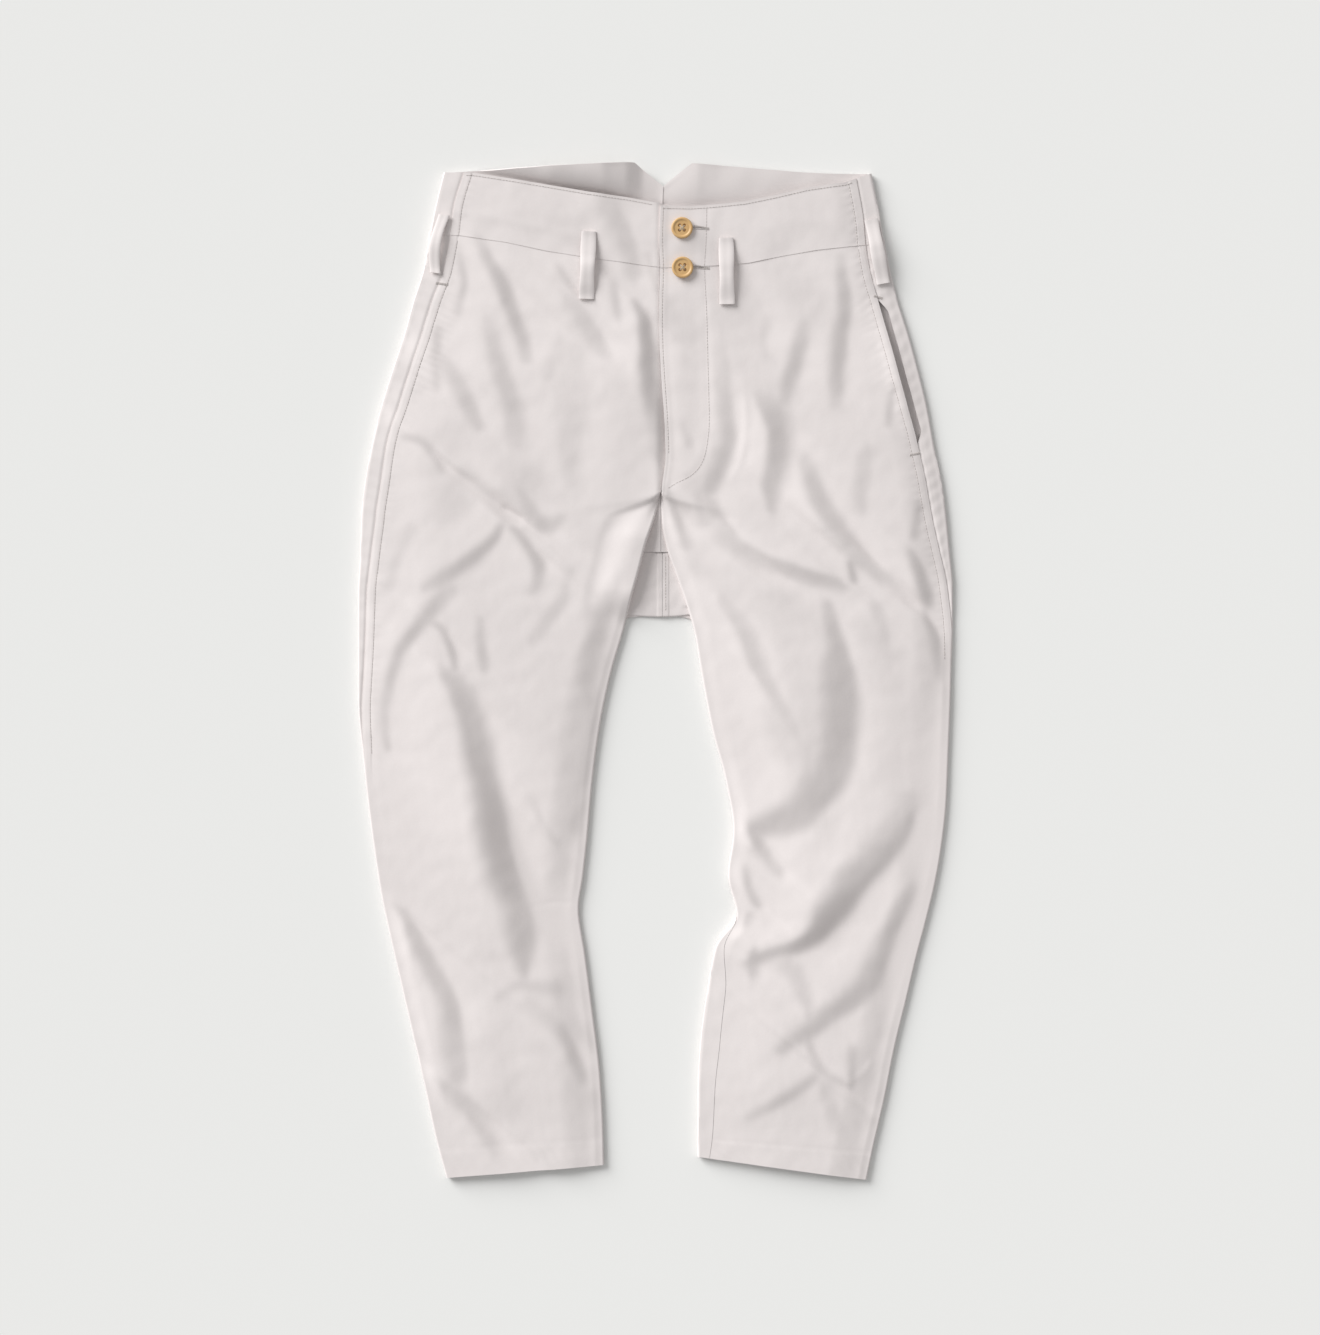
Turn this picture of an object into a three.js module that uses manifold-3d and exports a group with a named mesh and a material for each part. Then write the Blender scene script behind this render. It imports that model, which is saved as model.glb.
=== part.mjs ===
// Peg-top trousers lying flat, front up. Millimetres, +Z up, +Y towards the waist.
// The cloth walls follow flattened rings: an upper sheet, turned edges and a lower sheet on the ground.
import * as THREE from 'three';
import { mergeVertices } from 'three/addons/utils/BufferGeometryUtils.js';
import Module from 'manifold-3d';

const wasm = await Module();
wasm.setup();

// Driving dimensions
const CLOTH = 1.4;
const BAND = 2.4;
const SEAM_GAP = 0.5;
const TURN = 3;
const EDGE_HEIGHT = 7;
const LEG_HEIGHT = 10.2;
const WAIST_HEIGHT = 8.6;
const HEM_HEIGHT = 8.2;
const EDGE_FALL = 46;
const UNDERLAP_DROP = 2.9;
const STEPS_PER_SECTION = 2;
const FRONT_COLUMNS = 17;
const STRIP_DENSITY = 0.25;
const SHEET_DENSITY = 0.06;
const TURN_DENSITY = 0.6;

const COLOURS = { cloth: 0xe6e0df, button: 0xc8a05f };
const MATERIALS = {
  cloth: new THREE.MeshStandardMaterial({ color: COLOURS.cloth, roughness: 0.95, metalness: 0 }),
  button: new THREE.MeshStandardMaterial({ color: COLOURS.button, roughness: 0.5, metalness: 0 }),
};

// Reads a table: the heading names its columns.
function table(heading, rows) {
  const names = heading.split(' ');
  return rows.map((row) => Object.fromEntries(names.map((name, i) => [name, row[i]])));
}

// Leg sections from the waist seam to the hem, as seen from above.
// outer: silhouette; front and back: where each panel ends at the middle or on the inner leg;
// seam: the side seam's place from the outer edge; end: the inner seam's place past the inner edge;
// front_roll and back_roll: 1 where the panel turns round the inner leg's edge.
const LEG_COLUMNS = 'outer_x outer_y front_x front_y back_x back_y seam end front_roll back_roll';
const LEGS = {
  right: table(LEG_COLUMNS, [
    [-215, 416, 29, 383, 6, 384, 20, 0, 0, 0],
    [-221, 382, 29, 349, 6, 352, 19, 0, 0, 0],
    [-230, 353, 29, 320, 6, 325, 17, 0, 0, 0],
    [-239, 320, 29, 289, 6, 293, 16, 0, 0, 0],
    [-249, 290, 29, 262, 6, 266, 16, 0, 0, 0],
    [-259, 258, 29, 234, 6, 236, 16, 0, 0, 0],
    [-269, 220, 25, 205, 6, 202, 14, 0, 0, 0],
    [-276, 182, 4.6, 171, 6, 168, 15, 0, 0, 0],
    [-280, 147, -2, 146, 6, 130, 14, 1.7, 1, 0],
    [-281, 110, -10, 122, 6, 95, 10.5, 1.7, 1, 0],
    [-283, 73, -17, 95, 6, 62, 8.5, 1.7, 1, 0],
    [-283, 38, -24, 70, -8, 54, 7.5, 1.7, 1, 0],
    [-283, 5, -32, 38, -26, 52, 6, 1.7, 1, 0.1],
    [-283, -27, -43, 0, -43, 0, 4, 1.7, 1, 1],
    [-279, -74, -54, -52, -54, -52, 1, 1.7, 1, 1],
    [-274, -122, -61, -104, -61, -104, -1.7, 1.7, 1, 1],
    [-267, -175, -66, -160, -66, -160, -1.7, 1.7, 1, 1],
    [-261, -212, -70, -196, -70, -196, -1.7, 1.7, 1, 1],
    [-254, -245, -74, -226, -74, -226, -1.7, 1.7, 1, 1],
    [-246, -280, -68, -268, -68, -268, -1.7, 1.7, 1, 1],
    [-234, -332, -61, -322, -61, -322, -1.7, 1.7, 1, 1],
    [-221, -388, -54, -380, -54, -380, -1.7, 1.7, 1, 1],
    [-210, -440, -51, -430, -51, -430, -1.7, 1.7, 1, 1],
    [-199, -481, -50, -469, -50, -469, -1.7, 1.7, 1, 1],
  ]),
  left: table(LEG_COLUMNS, [
    [217, 408, 4, 384, 6, 384, 18, 0, 0, 0],
    [223, 380, 3, 352, 6, 354, 19, 0, 0, 0],
    [230, 352, 3, 324, 6, 326, 18, 0, 0, 0],
    [240, 320, 4, 296, 6, 296, 19, 0, 0, 0],
    [249, 287, 6, 266, 6, 266, 19, 0, 0, 0],
    [257, 254, 8, 236, 6, 234, 18, 0, 0, 0],
    [264, 216, 9, 205, 6, 200, 15, 0, 0, 0],
    [272, 178, 5.3, 171, 6, 166, 15, 0, 0, 0],
    [276, 147, 6, 143, 6, 130, 13.5, 1.7, 1, 0],
    [279, 115, 11, 117, 6, 95, 9.5, 1.7, 1, 0],
    [282, 80, 20, 92, 6, 62, 5, 1.7, 1, 0],
    [282, 45, 29, 66, 18, 54, 1, 1.7, 1, 0],
    [281, 8, 37, 38, 33, 50, -1, 1.7, 1, 0.1],
    [280, -27, 43, 2, 43, 2, -1.7, 1.7, 1, 1],
    [278, -80, 54, -55, 54, -55, -1.7, 1.7, 1, 1],
    [276, -126, 66, -100, 66, -100, -1.7, 1.7, 1, 1],
    [271, -170, 74, -150, 74, -150, -1.7, 1.7, 1, 1],
    [265, -203, 69, -192, 69, -192, -1.7, 1.7, 1, 1],
    [257, -236, 77, -230, 77, -230, -1.7, 0, 1, 1],
    [248, -270, 57, -262, 57, -262, -1.7, -8, 1, 1],
    [238, -312, 49, -304, 49, -304, -1.7, -17, 1, 1],
    [227, -357, 43, -350, 43, -350, -1.7, -18, 1, 1],
    [217, -407, 40, -398, 40, -398, -1.7, -16, 1, 1],
    [207, -450, 40, -438, 40, -438, -1.7, -14, 1, 1],
    [200, -483, 40, -461, 40, -461, -1.7, -11, 1, 1],
  ]),
};

// Waistband sections from the waist seam to the top edge, with the same columns.
const BANDS = {
  right: table(LEG_COLUMNS, [
    [-215, 416, 29, 383, 6, 384, 20, 0, 0, 0],
    [-208, 446, 29, 413, 6, 423, 17, 0, 0, 0],
    [-201, 475, 29, 441, 7, 462, 19, 0, 0, 0],
  ]),
  left: table(LEG_COLUMNS, [
    [217, 408, 4, 384, 6, 384, 18, 0, 0, 0],
    [211, 440, 3, 413, 6, 423, 15, 0, 0, 0],
    [204, 474, 4, 443, 7, 462, 14, 0, 0, 0],
  ]),
};

// How far the waist seam and the two top edges bow from straight, across from the outer edge (0) to the middle (1).
const BOWS = table('across right_seam right_front right_back left_seam left_front left_back', [
  [0, 0, 0, 0, 0, 0, 0],
  [0.12, 2.5, 3.5, 3, 0, -5, 0],
  [0.3, 2, 3, 5, 0, -4.5, 1],
  [0.45, -1, 2, 7, -2, -7, 7],
  [0.6, -2, 1, 11, -5, -8.5, 12],
  [0.75, -2, 1.5, 17, -4, -7, 16],
  [0.86, -2, 0.5, 20, -2.5, -5, 19],
  [1, 0, 0, 0, 0, 0, 0],
]);

// The side pocket of the left leg gapes: the back panel draws away from the front's edge here.
const POCKET = { side: 'left', top: 355, bottom: 200, gape: 3.4 };

// Large folds of the upper sheet. points run along the crest (height above 0) or the trough (below 0);
// left and right are its widths to each side of that run.
const FOLD_COLUMNS = 'height left right points';
const FOLDS = {
  right: table(FOLD_COLUMNS, [
    [5, 26, 50, [[-215, -8], [-199, -60], [-179, -122], [-169, -169], [-156, -207], [-136, -272]]],
    [-3, 26, 15, [[-194, -14], [-171, -63], [-151, -112], [-145, -155], [-137, -188], [-124, -212]]],
    [2.5, 40, 40, [[-129, -46], [-115, -103], [-102, -160], [-91, -217]]],
    [4, 36, 24, [[-245, -221], [-229, -264], [-213, -312], [-200, -369], [-191, -416]]],
    [3, 18, 20, [[-205, 83], [-224, 59], [-243, 35], [-257, 8], [-266, -30]]],
    [3, 18, 30, [[-153, 146], [-177, 121], [-205, 99], [-229, 83]]],
    [3, 28, 16, [[-196, 203], [-172, 188], [-148, 171], [-127, 156]]],
    [3, 24, 30, [[-169, 353], [-163, 306], [-156, 258], [-150, 220]]],
    [3, 18, 40, [[-32, 353], [-23, 320], [-19, 282], [-13, 249], [-6, 225]]],
    [2.5, 22, 40, [[-42, 110], [-57, 70], [-63, 43], [-80, 15], [-91, -17]]],
  ]),
  left: table(FOLD_COLUMNS, [
    [6, 26, 24, [[57, 163], [80, 135], [113, 110], [146, 95], [173, 86]]],
    [3, 26, 36, [[127, 334], [118, 296], [106, 258], [99, 211], [91, 173]]],
    [2.5, 22, 18, [[53, 277], [53, 230], [46, 197], [32, 171]]],
    [4, 50, 45, [[75, 92], [89, 49], [106, 7], [127, -36], [142, -74]]],
    [-3, 30, 40, [[167, 47], [177, 11], [180, -28], [177, -69], [163, -117]]],
    [3, 30, 40, [[203, 30], [218, -27], [213, -84], [205, -122]]],
    [7, 24, 50, [[243, -129], [222, -158], [196, -186], [173, -212], [146, -234], [123, -247]]],
    [-3, 26, 14, [[237, -164], [208, -202], [184, -228], [161, -255], [127, -269], [94, -270]]],
    [3, 20, 30, [[142, -76], [127, -112], [104, -136], [87, -148]]],
    [3.5, 24, 30, [[225, -202], [215, -231], [201, -259], [184, -285], [163, -310], [123, -340]]],
  ]),
};

// Belt loops: folded strips from top to bottom. lift stands the middle off the band; lean turns the strip on edge,
// and bulge then bows it outwards.
const LOOP = { wall: 1.8, end: 7, rise: 7, gap: 0.35, rows: 11 };
const LOOPS = table('name side top_x top_y bottom_x bottom_y width lift lean bulge from_outer', [
  ['belt_loop_front_right', 'right', -63.7, 418, -66, 354, 14, 4.8, 0, 0, 100],
  ['belt_loop_front_left', 'left', 66.5, 412, 67.5, 349, 14, 4.8, 0, 0, 100],
  ['belt_loop_side_right', 'right', -199, 437, -211, 378, 12, 0, 75, 4.5, 9],
  ['belt_loop_side_left', 'left', 204.5, 430, 216, 369, 13, 4.8, 0, 0, 9],
]);

// Buttons: turned discs with a raised rim and four holes, on the left waistband's fly end.
const BUTTON = { radius: 10.2, height: 3.4, rim: 2.2, dish: 0.8, round: 0.7, hole: 1.1, hole_spread: 2.2, gap: 0.35 };
const BUTTONS = table('name x y', [
  ['button_upper', 24.7, 421.3],
  ['button_lower', 25.2, 383.8],
]);

const SIGN = { right: -1, left: 1 };

function ease(t) {
  const s = Math.min(1, Math.max(0, t));
  return s * s * (3 - 2 * s);
}

function mix(a, b, t) {
  return a + (b - a) * t;
}

// A smooth curve through a table's rows, one column at a time, that never swings past a row.
function sample(rows, place) {
  const last = rows.length - 1;
  const i = Math.min(last - 1, Math.floor(place));
  const t = place - i;
  const out = {};
  for (const name of Object.keys(rows[0])) {
    const step = (k) => rows[k + 1][name] - rows[k][name];
    const slope = (k) => {
      if (k === 0 || k === last) return step(k === 0 ? 0 : last - 1);
      const before = step(k - 1);
      const after = step(k);
      return before * after <= 0 ? 0 : (2 * before * after) / (before + after);
    };
    const rise = rows[i + 1][name] - rows[i][name];
    const a = slope(i);
    const b = slope(i + 1);
    const bend = (3 * rise - 2 * a - b) * t * t + (a + b - 2 * rise) * t * t * t;
    out[name] = rows[i][name] + a * t + bend;
  }
  return out;
}

function bow(name, across) {
  const i = Math.min(BOWS.length - 2, BOWS.findLastIndex((row) => row.across <= across));
  const t = (across - BOWS[i].across) / (BOWS[i + 1].across - BOWS[i].across);
  return mix(BOWS[i][name], BOWS[i + 1][name], t);
}

// Height that one fold adds at a point: a rounded ridge or trough that fades at its ends.
function foldHeight(fold, x, y) {
  let nearest = Infinity;
  let offset = 0;
  let travelled = 0;
  let place = 0;
  for (let i = 0; i + 1 < fold.points.length; i += 1) {
    const [ax, ay] = fold.points[i];
    const [bx, by] = fold.points[i + 1];
    const length = Math.hypot(bx - ax, by - ay);
    const dx = (bx - ax) / length;
    const dy = (by - ay) / length;
    const along = Math.min(length, Math.max(0, (x - ax) * dx + (y - ay) * dy));
    const ox = x - ax - dx * along;
    const oy = y - ay - dy * along;
    const gap = Math.hypot(ox, oy);
    if (gap < nearest) {
      nearest = gap;
      offset = oy * dx - ox * dy;
      place = travelled + along;
    }
    travelled += length;
  }
  const fromEnds = ease(Math.min(place, travelled - place) / (0.3 * travelled) + 0.25);
  const t = nearest / (offset > 0 ? fold.left : fold.right);
  return t < 1 ? fold.height * fromEnds * (1 - t * t) ** 2 : 0;
}

// Height of the upper sheet's middle surface.
function sheetHeight(side, x, y, fromOuter, fromInner) {
  const body = mix(mix(WAIST_HEIGHT, LEG_HEIGHT, ease((400 - y) / 70)), HEM_HEIGHT, ease((-400 - y) / 60));
  const fall = ease(fromOuter / EDGE_FALL) * ease(fromInner / EDGE_FALL);
  const nearEdge = ease(fromOuter / 16) * ease(fromInner / 16);
  let z = mix(EDGE_HEIGHT, body, fall);
  for (const fold of FOLDS[side]) z += foldHeight(fold, x, y) * nearEdge;
  if (side === 'right') z -= UNDERLAP_DROP * ease((x + 16) / 14) * ease((y - 166) / 6);
  return z;
}

// A point of the upper sheet and its turned edges. q runs from the outer edge inwards;
// below TURN it goes down round the outer edge, and past width - TURN round the inner one.
function upperPoint(side, row, q, wall, shift) {
  const width = Math.hypot(row.front_x - row.outer_x, row.front_y - row.outer_y);
  const outerTurn = Math.max(0, (TURN - q) / TURN);
  const innerTurn = Math.max(0, (q - width + TURN) / TURN);
  const flat = Math.min(Math.max(q, TURN), width - TURN);
  const place = flat - TURN * Math.sin(outerTurn);
  const rolled = flat + TURN * Math.sin(innerTurn);
  const inner = innerTurn > 0 ? mix(q, rolled, row.front_roll) : place;
  const across = inner / width;
  const x = mix(row.outer_x, row.front_x, across);
  const y = mix(row.outer_y, row.front_y, across) + shift(across);
  const sheetAt = innerTurn > 0 && row.front_roll < 1 ? mix(q, flat, row.front_roll) : flat;
  const sx = mix(row.outer_x, row.front_x, sheetAt / width);
  const sy = mix(row.outer_y, row.front_y, sheetAt / width) + shift(sheetAt / width);
  const fromInner = (width - sheetAt) / Math.max(0.001, row.front_roll);
  const top = sheetHeight(side, sx, sy, sheetAt, fromInner);
  const middle = (top + wall / 2) / 2;
  const turn = outerTurn + innerTurn * row.front_roll;
  return new THREE.Vector3(x, y, middle + (top - middle) * Math.cos(turn));
}

// A point of the lower sheet. b runs from the outer edge inwards; past width - TURN it goes up the inner edge.
function lowerPoint(side, row, b, wall, shift) {
  const width = Math.hypot(row.front_x - row.outer_x, row.front_y - row.outer_y);
  const turn = Math.max(0, (b - width + TURN) / TURN);
  const flat = Math.min(b, width - TURN);
  const rolled = flat + TURN * Math.sin(Math.min(turn, Math.PI)) - TURN * Math.max(0, turn - Math.PI);
  const along = mix(b, rolled, row.back_roll);
  const across = along / width;
  const bend = ease(across);
  const x = mix(row.outer_x, mix(row.front_x, row.back_x, bend), across);
  const y = mix(row.outer_y, mix(row.front_y, row.back_y, bend), across) + shift(across);
  const base = wall / 2;
  if (turn <= 0) return new THREE.Vector3(x, y, base);
  const sheetAt = Math.min(width - TURN, along);
  const sx = mix(row.outer_x, row.front_x, sheetAt / width);
  const sy = mix(row.outer_y, row.front_y, sheetAt / width);
  const top = sheetHeight(side, sx, sy, sheetAt, width - sheetAt);
  const middle = (top + base) / 2;
  const lifted = middle - (top - middle) * Math.cos(Math.min(turn, Math.PI));
  return new THREE.Vector3(x, y, mix(base, lifted, row.back_roll));
}

// Spreads columns over stretches between the given stops, each with its own density.
function spread(stops, densities, columns) {
  const weights = densities.map((density, i) => Math.abs(stops[i + 1] - stops[i]) * density);
  const total = weights.reduce((sum, weight) => sum + weight, 0);
  return Array.from({ length: columns + 1 }, (_, c) => {
    let share = (c / columns) * total;
    let i = 0;
    while (i < weights.length - 1 && share > weights[i]) {
      share -= weights[i];
      i += 1;
    }
    return weights[i] > 0 ? mix(stops[i], stops[i + 1], Math.min(1, share / weights[i])) : stops[i];
  });
}

// A cloth wall of even thickness round a grid of middle points, as one closed body.
function wallGeometry(grid, thickness, up) {
  const rows = grid.length;
  const columns = grid[0].length;
  const at = (i, j) => grid[Math.min(rows - 1, Math.max(0, i))][Math.min(columns - 1, Math.max(0, j))];
  const faces = [[], []];
  for (let i = 0; i < rows; i += 1) {
    for (let j = 0; j < columns; j += 1) {
      const along = at(i + 1, j).clone().sub(at(i - 1, j));
      const across = at(i, j + 1).clone().sub(at(i, j - 1));
      const normal = along.cross(across).normalize().multiplyScalar((up * thickness) / 2);
      faces[0].push(at(i, j).clone().add(normal));
      faces[1].push(at(i, j).clone().sub(normal));
    }
  }
  const points = [...faces[0], ...faces[1]];
  const size = rows * columns;
  const index = [];
  const quad = (a, b, c, d) => index.push(a, b, c, a, c, d);
  for (let i = 0; i + 1 < rows; i += 1) {
    for (let j = 0; j + 1 < columns; j += 1) {
      const a = i * columns + j;
      quad(a, a + columns, a + columns + 1, a + 1);
      quad(size + a, size + a + 1, size + a + columns + 1, size + a + columns);
    }
    const first = i * columns;
    const last = first + columns - 1;
    quad(first, size + first, size + first + columns, first + columns);
    quad(last, last + columns, size + last + columns, size + last);
  }
  for (let j = 0; j + 1 < columns; j += 1) {
    const end = (rows - 1) * columns + j;
    quad(j, j + 1, size + j + 1, size + j);
    quad(end, size + end, size + end + 1, end + 1);
  }
  if (up < 0) index.reverse();
  const geometry = new THREE.BufferGeometry();
  const positions = points.flatMap((p) => [p.x, p.y, Math.max(0, p.z)]);
  geometry.setAttribute('position', new THREE.Float32BufferAttribute(positions, 3));
  geometry.setIndex(index);
  return outwards(geometry);
}

// Turns a closed body's faces outwards if its volume comes out negative.
function outwards(geometry) {
  const p = geometry.attributes.position;
  const index = Array.from(geometry.index.array);
  const a = new THREE.Vector3();
  const b = new THREE.Vector3();
  const c = new THREE.Vector3();
  let volume = 0;
  for (let i = 0; i < index.length; i += 3) {
    a.fromBufferAttribute(p, index[i]);
    b.fromBufferAttribute(p, index[i + 1]);
    c.fromBufferAttribute(p, index[i + 2]);
    volume += a.dot(b.cross(c));
  }
  if (volume < 0) index.reverse();
  geometry.setIndex(index);
  return geometry;
}

function solid(geometry) {
  const plain = geometry.clone();
  plain.deleteAttribute('normal');
  plain.deleteAttribute('uv');
  const merged = mergeVertices(plain, 1e-4);
  const vertProperties = new Float32Array(merged.attributes.position.array);
  const triVerts = new Uint32Array(merged.index.array);
  return new wasm.Manifold(new wasm.Mesh({ numProp: 3, vertProperties, triVerts }));
}

function fromSolid(body) {
  const mesh = body.getMesh();
  const geometry = new THREE.BufferGeometry();
  geometry.setAttribute('position', new THREE.Float32BufferAttribute(Array.from(mesh.vertProperties), 3));
  geometry.setIndex(Array.from(mesh.triVerts));
  return geometry;
}

// Joins two bodies and keeps the outer shell, without the slivers left inside the join.
function joined(first, second) {
  const bodies = solid(first).add(solid(second)).decompose();
  return fromSolid(bodies.sort((a, b) => b.volume() - a.volume())[0]);
}

const group = new THREE.Group();

function addPiece(name, geometry, material) {
  const mesh = new THREE.Mesh(geometry, material);
  mesh.name = name;
  group.add(mesh);
  return mesh;
}

function sectionsOf(rows, steps) {
  const count = (rows.length - 1) * steps;
  return Array.from({ length: count + 1 }, (_, i) => sample(rows, (i / count) * (rows.length - 1)));
}

// Moves the section at the waist seam in by half a seam gap, so that neighbours stay apart.
function pulledIn(rows, i) {
  return i === 0 ? (Math.sign(rows[1].outer_y - rows[0].outer_y) * SEAM_GAP) / 2 : 0;
}

function legShift(side, row) {
  const fade = ease(1 - (LEGS[side][0].outer_y - row.outer_y) / 80);
  return (across) => bow(`${side}_seam`, Math.min(1, Math.max(0, across))) * fade;
}

function bandShift(side, edge, t) {
  return (across) => {
    const place = Math.min(1, Math.max(0, across));
    const seam = edge === 'front' ? bow(`${side}_seam`, place) : 0;
    return mix(seam, bow(`${side}_${edge}`, place), t);
  };
}

function noShift() {
  return 0;
}

function frontGrid(side, rows, wall, columns, shiftOf) {
  return rows.map((row, i) => {
    const width = Math.hypot(row.front_x - row.outer_x, row.front_y - row.outer_y);
    const shift = shiftOf(row, i);
    const start = row.seam + SEAM_GAP / 2;
    const end = width + row.end - SEAM_GAP / 2;
    const stops = [start, Math.max(start, TURN), Math.min(end, width - TURN), end];
    const inner = mix(SHEET_DENSITY, TURN_DENSITY, row.front_roll);
    return spread(stops, [TURN_DENSITY, SHEET_DENSITY, inner], columns).map((q) => {
      const point = upperPoint(side, row, q, wall, shift);
      point.y += pulledIn(rows, i);
      return point;
    });
  });
}

function gapeAt(side, row) {
  const { top, bottom, gape } = POCKET;
  if (side !== POCKET.side || row.outer_y > top + 20 || row.outer_y < bottom) return 0;
  return gape * Math.sin((Math.PI * (row.outer_y - bottom)) / (top + 20 - bottom)) ** 2;
}

function backGrid(side, rows, wall, bottomColumns, frontShift, backShift) {
  const TURN_COLUMNS = 5;
  const INNER_COLUMNS = 4;
  return rows.map((row, i) => {
    const width = Math.hypot(row.front_x - row.outer_x, row.front_y - row.outer_y);
    const start = row.seam - SEAM_GAP / 2 - gapeAt(side, row);
    const under = TURN - Math.PI * TURN;
    const upper = spread([start, Math.min(start, TURN), under], [STRIP_DENSITY, 1], TURN_COLUMNS)
      .map((q) => upperPoint(side, row, q, wall, frontShift(row, i)));
    const innerFlat = width - TURN;
    const lower = Array.from({ length: bottomColumns - 1 }, (_, j) => (
      lowerPoint(side, row, mix(TURN, innerFlat, (j + 1) / bottomColumns), wall, backShift(row, i))));
    const rolledEnd = innerFlat + Math.PI * TURN - (row.end + TURN) - SEAM_GAP / 2;
    const innerEnd = mix(width - SEAM_GAP / 2, rolledEnd, row.back_roll);
    const turnTop = Math.min(innerEnd, innerFlat + Math.PI * TURN);
    const inner = spread([innerEnd, turnTop, innerFlat], [STRIP_DENSITY, 1], INNER_COLUMNS).reverse()
      .map((b) => lowerPoint(side, row, b, wall, backShift(row, i)));
    const points = [...upper, ...lower, ...inner];
    for (const point of points) point.y += pulledIn(rows, i);
    return points;
  });
}

// The front's crotch hook and the back's seat fold, which fill the gap between the legs.
const SEAT = { middle: 6, hook_middle: 4.6, seam_y: 114, fold_y: 53, fold_z: 2.7, tuck: 7, wall: 1.2 };

function innerEdgeAt(side, y) {
  const rows = LEGS[side].filter((row) => row.front_roll === 1);
  const i = Math.max(0, rows.findLastIndex((row) => row.front_y >= y));
  const t = (y - rows[i].front_y) / (rows[i + 1].front_y - rows[i].front_y);
  return mix(rows[i].front_x, rows[i + 1].front_x, t);
}

function seatGrid(side, middle, line) {
  const columns = 5;
  const sign = SIGN[side];
  return line.map(({ y, z, reach }) => Array.from({ length: columns + 1 }, (_, j) => {
    const inner = middle + (sign * SEAM_GAP) / 2;
    const outer = innerEdgeAt(side, reach) + sign * SEAT.tuck;
    const x = mix(outer, inner, j / columns);
    const arc = y < SEAT.fold_y + 8 ? 3 * (1 - j / columns) ** 2 : 0;
    return new THREE.Vector3(x, y + arc, z);
  }));
}

function hookLine() {
  const stops = table('y z', [[169, 6.2], [160, 5], [148, 4.4], [135, 4.2], [124, 4.2], [114, 4.2]]);
  return stops.map(({ y, z }, i) => ({ y: i === stops.length - 1 ? y + SEAM_GAP / 2 : y, z, reach: Math.min(y, 145) }));
}

function foldLine() {
  const { fold_y, fold_z, seam_y } = SEAT;
  const low = CLOTH / 2;
  const radius = (fold_z - low) / 2;
  const line = [{ y: fold_y + 12, z: low, reach: fold_y + 8 }, { y: fold_y + 4, z: low, reach: fold_y + 8 }];
  for (const turn of [0, 0.25, 0.5, 0.75, 1]) {
    const angle = Math.PI * turn;
    line.push({ y: fold_y + radius * (1 - Math.sin(angle)), z: low + radius * (1 - Math.cos(angle)), reach: fold_y + 8 });
  }
  for (const t of [0.2, 0.45, 0.7, 1]) {
    const y = mix(fold_y, seam_y - SEAM_GAP / 2, t);
    line.push({ y, z: fold_z, reach: Math.max(y, fold_y + 8) });
  }
  return line;
}

for (const side of ['right', 'left']) {
  const leg = sectionsOf(LEGS[side], STEPS_PER_SECTION);
  const legShiftOf = (row) => legShift(side, row);
  const front = wallGeometry(frontGrid(side, leg, CLOTH, FRONT_COLUMNS, legShiftOf), CLOTH, 1);
  const hook = wallGeometry(seatGrid(side, SEAT.hook_middle, hookLine()), CLOTH, 1);
  addPiece(`front_${side}`, joined(front, hook), MATERIALS.cloth);

  const back = wallGeometry(backGrid(side, leg, CLOTH, 3, legShiftOf, () => noShift), CLOTH, 1);
  const fold = wallGeometry(seatGrid(side, SEAT.middle, foldLine()), SEAT.wall, 1);
  addPiece(`back_${side}`, joined(back, fold), MATERIALS.cloth);

  const band = sectionsOf(BANDS[side], 2);
  const frontShiftOf = (row, i) => bandShift(side, 'front', i / (band.length - 1));
  const backShiftOf = (row, i) => bandShift(side, 'back', i / (band.length - 1));
  addPiece(`waistband_front_${side}`, wallGeometry(frontGrid(side, band, BAND, 14, frontShiftOf), BAND, 1), MATERIALS.cloth);
  addPiece(`waistband_back_${side}`, wallGeometry(backGrid(side, band, BAND, 7, frontShiftOf, backShiftOf), BAND, 1), MATERIALS.cloth);
}

function loopGrid(loop) {
  const length = Math.hypot(loop.bottom_x - loop.top_x, loop.bottom_y - loop.top_y);
  const run = new THREE.Vector3(loop.bottom_x - loop.top_x, loop.bottom_y - loop.top_y, 0).divideScalar(length);
  const lean = THREE.MathUtils.degToRad(loop.lean);
  const across = new THREE.Vector3(-run.y, run.x, 0).multiplyScalar(Math.cos(lean));
  across.z = Math.sin(lean);
  const out = new THREE.Vector3(SIGN[loop.side], 0, 0);
  const ground = (x, y) => sheetHeight(loop.side, x, y, loop.from_outer, Infinity) + BAND / 2;
  return Array.from({ length: LOOP.rows + 1 }, (_, i) => {
    const t = i / LOOP.rows;
    const rise = ease((Math.min(t, 1 - t) * length - LOOP.end) / LOOP.rise);
    const foot = new THREE.Vector3(loop.top_x, loop.top_y, 0).addScaledVector(run, t * length);
    foot.addScaledVector(out, loop.bulge * Math.sin(Math.PI * t));
    const low = ground(foot.x, foot.y) + LOOP.gap + LOOP.wall / 2 + loop.lift * rise;
    return [-0.5, 0, 0.5].map((place) => {
      const point = foot.clone().addScaledVector(across, place * loop.width);
      point.z = low + across.z * (place + 0.5) * loop.width;
      return point;
    });
  });
}

for (const loop of LOOPS) addPiece(loop.name, wallGeometry(loopGrid(loop), LOOP.wall, 1), MATERIALS.cloth);

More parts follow.
